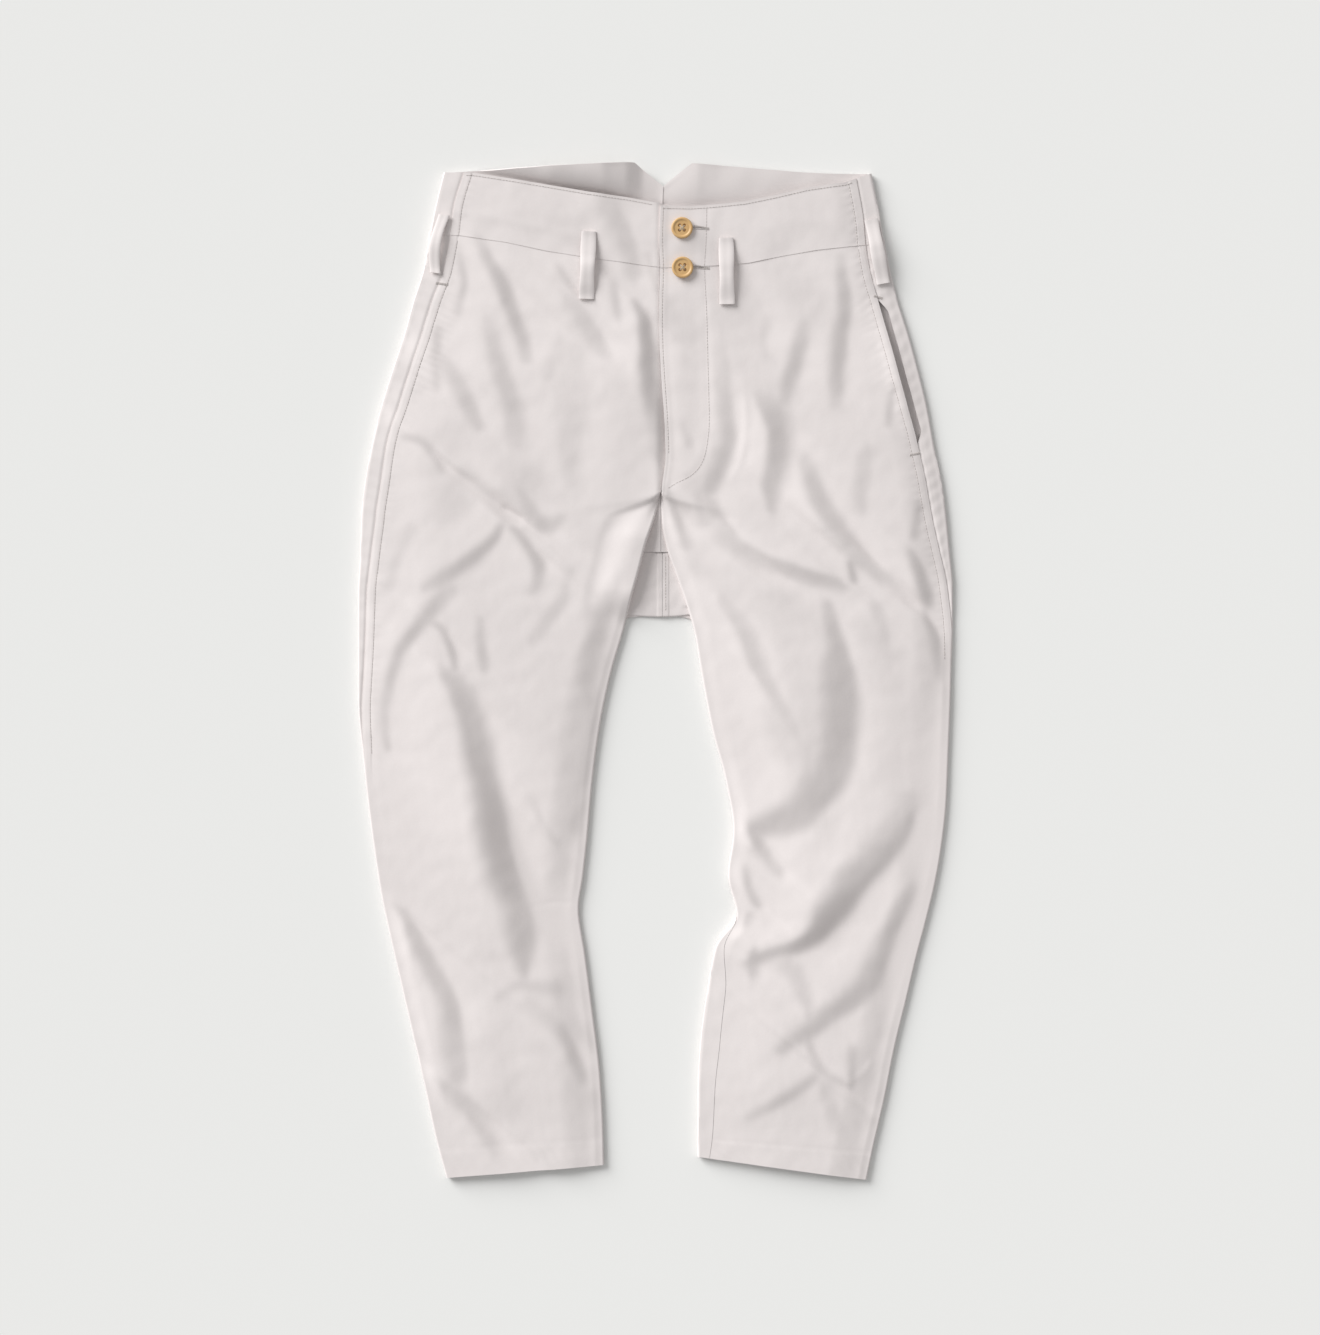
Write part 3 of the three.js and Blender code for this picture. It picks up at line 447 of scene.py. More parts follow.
def slope_stroke(stroke, x, y):
    """How steeply one stroke's slope turns from the light at each place."""
    table = np.array(stroke, float)
    table[:, :2] = plan(table[:, :2])
    table[:, 2:4] *= PLAN * REACH_SHARE
    table[:, 4] *= STEEP_SHARE
    line = smooth_line(table)
    line[:, 2:4] = np.maximum(line[:, 2:4], LEAST_REACH)
    line[:, 4] = np.maximum(line[:, 4], 0)
    out = np.zeros(x.shape)
    mask = near(line[:, :2], x, y, line[:, 2:4].max())
    if not mask.any():
        return out
    x, y = x[mask], y[mask]
    run = line[-1] - line[0]
    turned = -run[1] * AWAY_FROM_LIGHT[0] + run[0] * AWAY_FROM_LIGHT[1]
    best = np.zeros(x.shape)
    for a, b in zip(line, line[1:]):
        length = math.hypot(b[0] - a[0], b[1] - a[1])
        dx, dy = (b[0] - a[0]) / length, (b[1] - a[1]) / length
        t = np.clip(((x - a[0]) * dx + (y - a[1]) * dy) / length, 0, 1)
        ox, oy = x - a[0] - dx * length * t, y - a[1] - dy * length * t
        left = (oy * dx - ox * dy) * turned > 0
        reach = np.where(left, mix(a[3], b[3], t), mix(a[2], b[2], t))
        best = np.maximum(best, mix(a[4], b[4], t) * ease(1.2 * (1 - np.hypot(ox, oy) / reach)))
    out[mask] = best
    return out


def slope_heights():
    """The cloth's rise and fall over the plan: a crest before each slope and a trough after it."""
    places = np.arange(-FIELD_REACH, FIELD_REACH + 1, FIELD_STEP)
    u, v = np.meshgrid(places, places, indexing="ij")
    x = u * AWAY_FROM_LIGHT[0] - v * AWAY_FROM_LIGHT[1]
    y = u * AWAY_FROM_LIGHT[1] + v * AWAY_FROM_LIGHT[0]
    x = x + ripple(x, y, 42, 1)
    y = y + ripple(x, y, 42, 2)
    steep = np.zeros(u.shape)
    for stroke in SLOPES:
        steep = np.maximum(steep, slope_stroke(stroke, x, y))
    for axis in (0, 1, 0, 1):
        steep = (np.roll(steep, 1, axis) + 2 * steep + np.roll(steep, -1, axis)) / 4
    keep = math.exp(-FIELD_STEP / FIELD_RECOVERY)
    after, before = np.zeros(u.shape), np.zeros(u.shape)
    for i in range(1, len(places)):
        after[i] = after[i - 1] * keep - steep[i] * FIELD_STEP
    for i in range(len(places) - 2, -1, -1):
        before[i] = before[i + 1] * keep + steep[i] * FIELD_STEP
    return (after + before) / 2


def slope_height(x, y):
    u = x * AWAY_FROM_LIGHT[0] + y * AWAY_FROM_LIGHT[1]
    v = -x * AWAY_FROM_LIGHT[1] + y * AWAY_FROM_LIGHT[0]
    last = SLOPE_HEIGHTS.shape[0] - 2
    i = np.clip((u + FIELD_REACH) / FIELD_STEP, 0, last)
    j = np.clip((v + FIELD_REACH) / FIELD_STEP, 0, last)
    a, b = i.astype(int), j.astype(int)
    s, t = i - a, j - b
    low = mix(SLOPE_HEIGHTS[a, b], SLOPE_HEIGHTS[a, b + 1], t)
    high = mix(SLOPE_HEIGHTS[a + 1, b], SLOPE_HEIGHTS[a + 1, b + 1], t)
    return mix(low, high, s)


def ridge(row, x, y):
    height, width, points = row
    line = smooth_line(plan(points), 3.0)
    out = np.zeros(x.shape)
    mask = near(line, x, y, 3 * width)
    if mask.any():
        gap, _, place, length = run_distance(line, x[mask], y[mask])
        ends = ease(np.minimum(place, length - place) / (0.3 * length) + 0.1)
        out[mask] = height * np.exp(-(gap / width) ** 2) * ends
    return out


def ripple(x, y, scale, seed):
    """Smooth unevenness, about -1 to 1, from a few crossed waves."""
    total = np.zeros(np.shape(x))
    for k in range(5):
        angle = seed * 1.7 + k * 2.4
        length = scale * (0.7 + 0.23 * k)
        phase = 6.28 / length * (x * math.cos(angle) + y * math.sin(angle))
        bend = 1.3 * np.sin(6.28 / (2.3 * length) * (y * math.cos(angle) - x * math.sin(angle)) + k)
        total += np.sin(phase + seed * 3.1 + k * 1.9 + bend)
    return total / 3.2


SLOPE_HEIGHTS = slope_heights()


def sheet_height(side, x, y, from_outer, from_inner):
    """Height of the upper sheet's middle surface."""
    body = mix(mix(WAIST_HEIGHT, LEG_HEIGHT, ease((400 - y) / 70)), HEM_HEIGHT, ease((-400 - y) / 60))
    outer, inner = (LIT_EDGE, SHADED_EDGE) if side == "right" else (SHADED_EDGE, LIT_EDGE)
    near_edge = ease(from_outer / 16) * ease(from_inner / 16)
    crotch = ease((y - 40) / 40) * ease((176 - y) / 50) * ease((60 - from_inner) / 50) * (side == "right")
    inner_height, inner_reach = (mix(a, b, crotch) for a, b in zip(inner, CROTCH_EDGE))
    z = mix(outer[0], body, ease(from_outer / outer[1]))
    z = mix(inner_height, z, ease(from_inner / inner_reach))
    reach = np.minimum(1, np.minimum(from_outer, np.minimum(from_inner, 200)) / 110)
    z = z + DOME_HEIGHT * (1 - (1 - reach) ** 2) * ease((330 - y) / 60) * ease((y + 440) / 60)
    for fold in LARGE_FOLDS[side]:
        z = z + FOLD_SHARE * large_fold(fold, x, y) * near_edge
    z = z + slope_height(x, y) * (0.4 + 0.6 * near_edge)
    for row in RIDGES:
        z = z + ridge(row, x, y) * near_edge
    z = z + 0.14 * ripple(x, y, 34, 3) + 0.05 * ripple(x, y, 15, 4)
    shaded = from_outer if side == "left" else from_inner
    z = z - SHADED_ROLL * (1 - ease(shaded / 9)) * ease((420 - y) / 30) * (1 - crotch)
    z = LOWEST + np.logaddexp(0, 1.4 * (z - LOWEST)) / 1.4
    if side == "right":
        z = z - UNDERLAP_DROP * ease(x / 9) * ease((y - FLY_FOOT) / 6)
    return z


def spread(stops, densities, columns):
    weights = [abs(b - a) * d for a, b, d in zip(stops, stops[1:], densities)]
    total = np.cumsum([0] + weights)
    shares = np.linspace(0, total[-1], columns + 1)
    return np.interp(shares, total, stops)


def widths(rows):
    return np.hypot(rows["front_x"] - rows["outer_x"], rows["front_y"] - rows["outer_y"])


def front_place(rows, across, shift=0.0):
    """The plan position a share of the way from the outer edge to the front panel's end."""
    x = mix(rows["outer_x"], rows["front_x"], across)
    return x, mix(rows["outer_y"], rows["front_y"], across) + shift


def upper_points(side, rows, q, wall, shift, lift):
    """Points of the upper sheet and its turned edges; q runs from the outer edge inwards."""
    col = {name: rows[name][:, None] for name in rows}
    width = widths(col)
    outer_turn = np.maximum(0, (TURN - q) / TURN)
    inner_turn = np.maximum(0, (q - width + TURN) / TURN)
    flat = np.clip(q, TURN, width - TURN)
    place = flat - TURN * np.sin(outer_turn)
    rolled = flat + TURN * np.sin(inner_turn)
    inner = np.where(inner_turn > 0, mix(q, rolled, col["front_roll"]), place)
    sheet_at = np.where(inner_turn > 0, mix(q, flat, col["front_roll"]), flat)
    x, y = front_place(col, inner / width, shift(rows, inner / width))
    sx, sy = front_place(col, sheet_at / width, shift(rows, sheet_at / width))
    from_inner = (width - sheet_at) / np.maximum(0.001, col["front_roll"])
    top = sheet_height(side, sx, sy, sheet_at, from_inner) + lift(side, rows, q, width - q, sx, sy)
    middle = (top + wall / 2) / 2
    turn = outer_turn + inner_turn * col["front_roll"]
    return np.stack([x, y, middle + (top - middle) * np.cos(turn)], axis=-1)


def lower_points(side, rows, b, wall, shift, rise):
    """Points of the lower sheet; b runs from the outer edge inwards and up the inner edge."""
    col = {name: rows[name][:, None] for name in rows}
    width = widths(col)
    turn = np.maximum(0, (b - width + TURN) / TURN)
    flat = np.minimum(b, width - TURN)
    rolled = flat + TURN * np.sin(np.minimum(turn, math.pi)) - TURN * np.maximum(0, turn - math.pi)
    along = mix(b, rolled, col["back_roll"])
    across = along / width
    bend = ease(across)
    x = mix(col["outer_x"], mix(col["front_x"], col["back_x"], bend), across)
    y = mix(col["outer_y"], mix(col["front_y"], col["back_y"], bend), across) + shift(rows, across)
    base = wall / 2 + 0.7 * ease(ripple(x, y, 90, 6) - 0.35) * ease(b / 20) * ease((width - b) / 20)
    base = base + rise(side, x, y, across)
    sheet_at = np.minimum(width - TURN, along)
    sx, sy = front_place(col, sheet_at / width)
    top = sheet_height(side, sx, sy, sheet_at, width - sheet_at)
    middle = (top + base) / 2
    lifted = middle - (top - middle) * np.cos(np.minimum(turn, math.pi))
    z = np.where(turn > 0, mix(base, lifted, col["back_roll"]), base)
    return np.stack([x, y, z], axis=-1)


def new_object(name, data):
    made = bpy.data.objects.new(name, data)
    bpy.context.scene.collection.objects.link(made)
    return made


def solid_mesh(name, points, faces, angle=50):
    mesh = bpy.data.meshes.new(name)
    mesh.from_pydata((points * MM).tolist(), [], faces)
    mesh.polygons.foreach_set("use_smooth", np.ones(len(faces), bool))
    mesh.set_sharp_from_angle(angle=math.radians(angle))
    mesh.update()
    return new_object(name, mesh)


def wall_mesh(name, grid, thickness):
    """A closed cloth wall round a grid of middle points; thickness is a number or a grid of numbers."""
    rows, columns = grid.shape[:2]
    normal = np.cross(np.gradient(grid, axis=0), np.gradient(grid, axis=1))
    normal /= np.maximum(1e-9, np.linalg.norm(normal, axis=-1, keepdims=True))
    half = np.broadcast_to(np.asarray(thickness, float), (rows, columns))[..., None] / 2
    points = np.concatenate([(grid + normal * half).reshape(-1, 3), (grid - normal * half).reshape(-1, 3)])
    points[:, 2] = np.maximum(points[:, 2], 0.0)
    index = np.arange(rows * columns).reshape(rows, columns)
    a, b, c, d = index[:-1, :-1], index[1:, :-1], index[1:, 1:], index[:-1, 1:]
    top = np.stack([a, b, c, d], axis=-1).reshape(-1, 4)
    size = rows * columns
    rim = np.concatenate([index[0, :], index[1:, -1], index[-1, -2::-1], index[-2:0:-1, 0]])
    after = np.roll(rim, -1)
    band = np.stack([rim, after, after + size, rim + size], axis=-1)
    faces = np.concatenate([top, top[:, ::-1] + size, band])
    return solid_mesh(name, points, faces.tolist())


def leg_shift(side):
    start = LEGS[side][0][1]

    def shift(rows, across):
        down = start - rows["outer_y"][:, None]
        under_band = 4.0 * ease(1 - down / 8)
        return bow(f"{side}_seam", np.clip(across, 0, 1)) * ease(1 - down / 80) + under_band
    return shift


def band_shift(side, edge, count):
    def shift(rows, across):
        t = np.linspace(0, 1, count)[:, None]
        place = np.clip(across, 0, 1)
        seam = bow(f"{side}_seam", place) if edge == "front" else 0
        return mix(seam, bow(f"{side}_{edge}", place), t)
    return shift


def no_shift(rows, across):
    return 0.0


def no_rise(side, x, y, across):
    return 0.0


def waist_dip(side, rows):
    """The leg's top rows run under the waistband."""
    down = LEGS[side][0][1] - rows["outer_y"][:, None]
    return -0.55 * ease(1 - down / 24)


def side_seam(rows, q):
    """The lapped side seam: a raised double edge with a stitched groove beside it, and small puckers."""
    gap = q - rows["seam"][:, None]
    y = rows["outer_y"][:, None]
    raised = LAP_HEIGHT * ease(1 - (gap - SEAM_STITCH + 1.2) / 2.0)
    groove = -GROOVE_DEPTH * np.exp(-((gap - SEAM_STITCH) / 1.0) ** 2)
    wave = np.sin(y * 0.72 + 0.25 * gap + 1.5 * np.sin(y * 0.11))
    pucker = PUCKER_HEIGHT * np.exp(-((gap - 9.5) / 4.5) ** 2) * wave
    fade = ease((rows["seam"][:, None] + 1.7) / 3)
    return (raised + groove + pucker) * ease((gap + 1) / 1.5) * fade


def hip_puckers(side, q, y):
    strength = ease((y - 255) / 20) * ease((370 - y) / 30) * np.exp(-((q - 34) / 9) ** 2)
    height = {"right": 0.22, "left": 0.08}[side]
    return height * strength * np.sin(6.28 * (y + 0.5 * q) / 6.7 + np.sin(y * 0.19))


def fly_form(side, x, y, from_end):
    """The fly's raised edge on the left panel, and the groove of its curved thread line."""
    if side == "right":
        return 0.0
    above = ease((y - FLY_FOOT) / 8)
    raised = 0.95 * ease(1 - from_end / 10) * above
    groove = -0.18 * np.exp(-((from_end - FLY_STITCH) / 0.9) ** 2) * above
    gap = run_distance(smooth_line(FLY_CURVE), x, y)[0]
    return raised + groove - 0.1 * np.exp(-(gap / 1.5) ** 2) + 0.08 * np.exp(-((gap - 5) / 3) ** 2)


def hem_form(rows, x):
    """The doubled hem: a step and slanting puckers over the last rows."""
    end = rows["outer_y"][-1]
    up = rows["outer_y"][:, None] - end
    step = 0.12 * ease((HEM_DEPTH - up) / 4)
    groove = -0.1 * np.exp(-((up - HEM_DEPTH) / 1.2) ** 2)
    slant = np.sin(6.28 * (x + 0.9 * up) / 11 + 1.7 * np.sin(x * 0.06))
    pucker = 0.14 * np.exp(-((up - 15) / 9) ** 2) * slant * (0.6 + 0.4 * np.sin(x * 0.037))
    return step + groove + pucker


def pocket_gape(rows):
    t = (rows["outer_y"] - POCKET["bottom"]) / (POCKET["top"] + 20 - POCKET["bottom"])
    return np.sin(math.pi * np.clip(t, 0, 1)) ** 2


def pocket_lift(side, rows, q):
    """The front's edge stands up along the open pocket."""
    if side != POCKET["side"]:
        return 0.0
    gap = q - rows["seam"][:, None]
    return POCKET["lift"] * pocket_gape(rows)[:, None] * np.exp(-(np.maximum(gap, 0) / 11) ** 2)


def leg_front_lift(side, rows, q, from_end, x, y):
    lift = waist_dip(side, rows) + side_seam(rows, q) + hem_form(rows, x) + pocket_lift(side, rows, q)
    return lift + hip_puckers(side, q, y) + fly_form(side, x, y, from_end)


def band_front_lift(side, rows, q, from_end, x, y):
    t = np.linspace(0, 1, len(rows["outer_y"]))[:, None]
    down = (1 - t) * BAND_HEIGHT
    edge_roll = 0.2 * np.exp(-(down / 2.0) ** 2) - 0.12 * np.exp(-((down - TOP_STITCH) / 0.9) ** 2)
    arch = 1.5 * np.exp(-((x + 75) / 60) ** 2) * ease(t * 1.1 - 0.1)
    waves = 0.15 * ripple(x, y, 46, 7) + 0.05 * ripple(x, y, 19, 8)
    soft = 0.25 * np.exp(-((y - np.interp(x, [-180, -70], [437, 413])) / 5) ** 2) * ease((-60 - x) / 20)
    return edge_roll + arch + waves + soft + side_seam(rows, q) + fly_form(side, x, y, from_end)


def back_strip_lift(side, rows, q, from_end, x, y):
    under = -0.75 * ease((q - rows["seam"][:, None] + 3) / 3)
    wave = 0.15 * np.sin(6.28 * y / 13 + 0.3 * q + np.sin(y * 0.07)) * ease(q / 6) * ease((y + 40) / 60)
    return under + wave * ease((410 - y) / 20)


def leg_strip_lift(side, rows, q, from_end, x, y):
    return waist_dip(side, rows) + back_strip_lift(side, rows, q, from_end, x, y)


def back_band_rise(side, x, y, across):
    """The back waistband's inside rises from the front's top edge to its own."""
    last = BANDS[side][-1]
    place = np.clip(across, 0, 1)
    front_top = mix(last[1], last[3], place) + bow(f"{side}_front", place)
    above = np.maximum(0, y - front_top - 2.5)
    rise = np.interp(x, BACK_RISE[:, 0], BACK_RISE[:, 1]) * (1 - np.exp(-above / 13))
    seam = 0.4 * np.exp(-((x - 6.3) / 1.6) ** 2) * ease(above / 3)
    wave = 0.25 * ripple(x, y, 40, 9) * ease(above / 10)
    return rise + seam + wave + 0.2 * np.exp(-((y - edge_of_back(side, place) + 2) / 1.3) ** 2)


def edge_of_back(side, place):
    last = BANDS[side][-1]
    return mix(last[1], last[5], place) + bow(f"{side}_back", place)


def front_panel(side, table, name, wall, steps, shift, lift, columns):
    rows = sections(table, steps)
    width = widths(rows)
    start = rows["seam"] + SEAM_GAP / 2
    end = width + rows["end"] - SEAM_GAP / 2
    q = []
    for i in range(len(width)):
        turn = width[i] - TURN
        stops = [start[i], start[i] + 13, min(end[i], turn) - 8, min(end[i], turn), end[i]]
        q.append(spread(stops, [1.3, 0.36, 0.9, mix(0.9, 1.8, rows["front_roll"][i])], columns))
    q = np.array(q)
    grid = upper_points(side, rows, q, CLOTH, shift, lift)
    if table is LEGS[side]:
        down = table[0][1] - rows["outer_y"][:, None]
        wall = mix(CLOTH_EDGE, CLOTH, ease((q - start[:, None]) / 3) * ease(down / 8))
    return wall_mesh(name, grid, wall)


def back_panel(side, table, name, wall, steps, front_shift, back_shift, lift, rise, columns):
    rows = sections(table, steps)
    width = widths(rows)
    tuck = np.full_like(width, 3.5)
    if side == POCKET["side"] and table is LEGS[side]:
        gape = pocket_gape(rows)
        tuck = np.where(gape > 0, mix(tuck, -POCKET["gape"], ease(gape * 3)), tuck)
    start = rows["seam"] + tuck * ease((rows["seam"] + 1.7) / 3) - SEAM_GAP / 2
    under = TURN - math.pi * TURN
    inner_flat = width - TURN
    rolled_end = inner_flat + math.pi * TURN - (rows["end"] + TURN) - SEAM_GAP / 2
    inner_end = mix(width - SEAM_GAP / 2, rolled_end, rows["back_roll"])
    upper, lower = [], []
    for i in range(len(width)):
        upper.append(spread([start[i], min(start[i], TURN), under], [0.8, 1.2], STRIP_COLUMNS))
        turn_top = min(inner_end[i], inner_flat[i] + math.pi * TURN)
        bottom = np.linspace(TURN, inner_flat[i], columns)[1:-1]
        inner = spread([inner_end[i], turn_top, inner_flat[i]], [0.7, 1.4], EDGE_COLUMNS)[::-1]
        lower.append(np.concatenate([bottom, inner]))
    grid = np.concatenate([
        upper_points(side, rows, np.array(upper), CLOTH, front_shift, lift),
        lower_points(side, rows, np.array(lower), wall if np.isscalar(wall) else BAND, back_shift, rise),
    ], axis=1)
    return wall_mesh(name, grid, wall)


# The front's crotch hook and the back's seat fold between the legs.
SEAT = {
    "middle": 6.0, "hook_middle": 4.6, "seam_y": 114.0, "fold_y": 53.0, "fold_z": 1.95, "tuck": 7.0,
    "wall": 1.2,
}
SEAT_STRIP = (0.9, 12.4)


def inner_edge(side, y):
    rows = [row for row in LEGS[side] if row[8] == 1]
    return np.interp(-y, [-row[3] for row in rows], [row[2] for row in rows])


def seat_grid(side, middle, line, columns, relief):
    sign = SIGN[side]
    grid = []
    for y, z, reach in line:
        inner = middle + sign * SEAM_GAP / 2
        outer = inner_edge(side, reach) + sign * SEAT["tuck"]
        t = np.linspace(0, 1, columns + 1)
        arc = 3 * (1 - t) ** 2 if y < SEAT["fold_y"] + 8 else 0 * t
        x = mix(outer, inner, t)
        grid.append(np.stack([x, y + arc, z + relief(x, y, z) + 0.2 * ripple(x, y, 18, 5)], axis=-1))
    return np.array(grid)


def fold_relief(x, y, z):
    """The seat between the legs rises towards the left leg and has a felled middle seam."""
    left = 1.2 * (np.clip(x - SEAT["middle"], 0, 60) / 26) ** 2
    strip = 0.5 * ease((x - SEAT_STRIP[0]) / 1.2) * ease((SEAT_STRIP[1] - x) / 1.0)
    on_top = 1.0 if z > SEAT["fold_z"] - 0.3 else 0.0
    return (left * ease((y - SEAT["fold_y"]) / 14) + strip) * on_top


def hook_relief(x, y, z):
    return 1.4 * np.exp(-((x - 3.5) / 5.5) ** 2) * ease((160 - y) / 12) - 0.8 * ease((-2 - x) / 8)


def hook_line():
    last = SEAT["seam_y"] + SEAM_GAP / 2
    stops = np.array([(169, 5.6), (160, 4.4), (148, 3.6), (135, 3.2), (124, 3.0), (last, 3.0)])
    y = np.linspace(169, last, 32)
    z = np.interp(-y, -stops[:, 0], stops[:, 1])
    return [(a, b, min(a, 145)) for a, b in zip(y, z)]


def fold_line():
    fold_y, fold_z, seam_y = SEAT["fold_y"], SEAT["fold_z"], SEAT["seam_y"]
    low = CLOTH / 2 + 0.1
    radius = (fold_z - low) / 2
    line = [(fold_y + 12, low, fold_y + 8), (fold_y + 4, low, fold_y + 8)]
    for turn in np.linspace(0, math.pi, 9):
        y, z = fold_y + radius * (1 - math.sin(turn)), low + radius * (1 - math.cos(turn))
        line.append((y, z, fold_y + 8))
    for y in np.linspace(fold_y, seam_y - SEAM_GAP / 2, 34)[1:]:
        line.append((y, fold_z, max(y, fold_y + 8)))
    return line


def join(first, *others):
    bpy.ops.object.select_all(action="DESELECT")
    for piece in others:
        piece.select_set(True)
    first.select_set(True)
    bpy.context.view_layer.objects.active = first
    bpy.ops.object.join()
    return first


# A waistband is thin at the seam, where the leg's cloth runs under it, and thicker above.
BAND_STEPS = 18
band_count = 2 * BAND_STEPS + 1
band_wall = mix(BAND_EDGE, BAND, ease(np.linspace(0, 1.6, band_count)))[:, None]

cloth_pieces = {}
for side in ("right", "left"):
    leg_bow = leg_shift(side)
    front_bow = band_shift(side, "front", band_count)
    back_bow = band_shift(side, "back", band_count)
    front = front_panel(side, LEGS[side], f"front_panel_{side}", CLOTH, ROWS_PER_SECTION, leg_bow,
                        leg_front_lift, FRONT_COLUMNS)
    hook = wall_mesh("hook", seat_grid(side, SEAT["hook_middle"], hook_line(), 24, hook_relief), CLOTH)
    cloth_pieces[f"front_{side}"] = join(front, hook)
    back = back_panel(side, LEGS[side], f"back_panel_{side}", CLOTH, ROWS_PER_SECTION, leg_bow, no_shift,
                      leg_strip_lift, no_rise, 26)
    fold = wall_mesh("fold", seat_grid(side, SEAT["middle"], fold_line(), 40, fold_relief), SEAT["wall"])
    cloth_pieces[f"back_{side}"] = join(back, fold)
    cloth_pieces[f"waistband_front_{side}"] = front_panel(
        side, BANDS[side], f"band_front_{side}", band_wall, BAND_STEPS, front_bow, band_front_lift, 110)
    cloth_pieces[f"waistband_back_{side}"] = back_panel(
        side, BANDS[side], f"band_back_{side}", band_wall, BAND_STEPS, front_bow, back_bow, back_strip_lift,
        back_band_rise, 60)


# Belt loops: folded strips, raised between their ends.
LOOP_WALL = 1.8
LOOP_END = 2.0
LOOP_RISE = 26.0
LOOP_GAP = 0.35
LOOPS = {
    "belt_loop_front_right": ("right", (-63.7, 418), (-66, 354), 14, 3.2, 0, 0, 100),
    "belt_loop_front_left": ("left", (66.5, 412), (67.5, 349), 14, 3.2, 0, 0, 100),
    "belt_loop_side_right": ("right", (-201, 434), (-209.5, 379), 10.5, 3.6, 6, 4, 9),
    "belt_loop_side_left": ("left", (204.5, 430), (216, 369), 13, 3.2, 0, 0, 9),
}


def loop_mesh(name):
    side, top, bottom, width, lift, lean, bulge, from_outer = LOOPS[name]
    top, bottom = np.array(top, float), np.array(bottom, float)
    length = np.linalg.norm(bottom - top)
    run = (bottom - top) / length
    lean = math.radians(lean)
    across = np.array([-run[1] * math.cos(lean), run[0] * math.cos(lean), math.sin(lean)])
    t = np.linspace(0, 1, 61)
    place = np.sin(np.linspace(-1, 1, 13) * math.pi / 2) / 2
    rise = ease((np.minimum(t, 1 - t) * length - LOOP_END) / LOOP_RISE)
    foot_x = top[0] + run[0] * t * length + SIGN[side] * bulge * np.sin(math.pi * t)
    foot_y = top[1] + run[1] * t * length
    ground = sheet_height(side, foot_x, foot_y, np.full(t.shape, from_outer), np.full(t.shape, 200)) + 0.3
    low = ground + BAND / 2 + LOOP_GAP + LOOP_WALL / 2 + lift * rise
    uneven = 1 + 0.05 * np.sin(t * 9 + from_outer)
    grid = np.zeros((len(t), len(place), 3))
    grid[..., 0] = foot_x[:, None] + across[0] * place * (width * uneven)[:, None]
    grid[..., 1] = foot_y[:, None] + across[1] * place * (width * uneven)[:, None]
    grid[..., 2] = low[:, None] + across[2] * (place + 0.5) * width
    grid[..., 2] -= 0.35 * (2 * np.abs(place)) ** 4 * math.cos(lean) * rise[:, None]
    wall = np.full((len(t), 1), 1.0) * mix(LOOP_WALL, 0.7, (2 * np.abs(place)) ** 6)[None, :]
    wall = wall - 0.3 * np.exp(-(place * width / 0.8) ** 2)[None, :]
    end_fold = ease(1 - np.minimum(t, 1 - t)[:, None] * length / 5)
    wall = wall + 0.25 * end_fold * (np.abs(place) < 0.46)[None, :]
    return wall_mesh(name.replace("belt_loop", "loop"), grid, wall)


loop_pieces = {name: loop_mesh(name) for name in LOOPS}


# Buttons: a raised rim round a dish with four holes.
BUTTON = {
    "radius": 10.2, "height": 3.4, "rim": 2.2, "dish": 0.8, "hole": 1.4, "hole_spread": 2.3, "gap": 0.35,
}
BUTTONS = {"button_upper": (24.7, 421.3), "button_lower": (25.2, 383.8)}


def button_mesh(name):
    x, y = BUTTONS[name]
    radius, height, spread_of_holes = BUTTON["radius"], BUTTON["height"], BUTTON["hole_spread"]
    clear_of_edges = np.array([200.0])
    cloth = sheet_height("left", np.array([x]), np.array([y]), clear_of_edges, clear_of_edges)
    base = float(cloth[0]) + BAND / 2 + BUTTON["gap"]
    dish, rim, edge = np.linspace(0, 4.8, 20)[1:], np.linspace(5.2, radius - 0.9, 11), [0.6, 0.3, 0.1, 0]
    rings = np.concatenate([dish, rim, radius - np.array(edge)])
    angles = np.linspace(0, 2 * math.pi, 96, endpoint=False)
    r, a = np.meshgrid(rings, angles, indexing="ij")
    px, py = r * np.cos(a), r * np.sin(a)
    z = height - BUTTON["dish"] * ease((radius - BUTTON["rim"] + 0.4 - r) / 1.6)
    z = z - 1.4 * (1 - np.sqrt(np.clip(1 - np.clip((r - radius + 1.2) / 1.2, 0, 1) ** 2, 0, 1)))
    for hx in (-spread_of_holes, spread_of_holes):
        for hy in (-spread_of_holes, spread_of_holes):
            z = z - 1.9 * ease((BUTTON["hole"] + 0.2 - np.hypot(px - hx, py - hy)) / 0.4)
    top = np.stack([px, py, z], axis=-1).reshape(-1, 3)
    count, turns = len(rings), len(angles)
    foot = 0.97 * radius
    low = np.stack([foot * np.cos(angles), foot * np.sin(angles), 0 * angles], axis=-1)
    points = np.vstack([top, low, [[0, 0, height - BUTTON["dish"]], [0, 0, 0]]]) + np.array([x, y, base])
    index = np.arange((count + 1) * turns).reshape(count + 1, turns)
    after = np.roll(index, -1, axis=1)
    faces = np.stack([index[:-1], index[1:], after[1:], after[:-1]], axis=-1).reshape(-1, 4).tolist()
    crown, bottom = len(points) - 2, len(points) - 1
    faces += [[crown, int(p), int(n)] for p, n in zip(index[0], after[0])]
    faces += [[bottom, int(n), int(p)] for p, n in zip(index[-1], after[-1])]
    button = solid_mesh(name.replace("button_", "horn_button_"), points, faces, 60)
    return button, base + height - BUTTON["dish"]


button_pieces, button_tops = {}, {}
for name in BUTTONS:
    button_pieces[name], button_tops[name] = button_mesh(name)


# Threads: short rounded stitches laid on the cloth.
RUN_STEPS = 6
THREAD_SIDES = 6


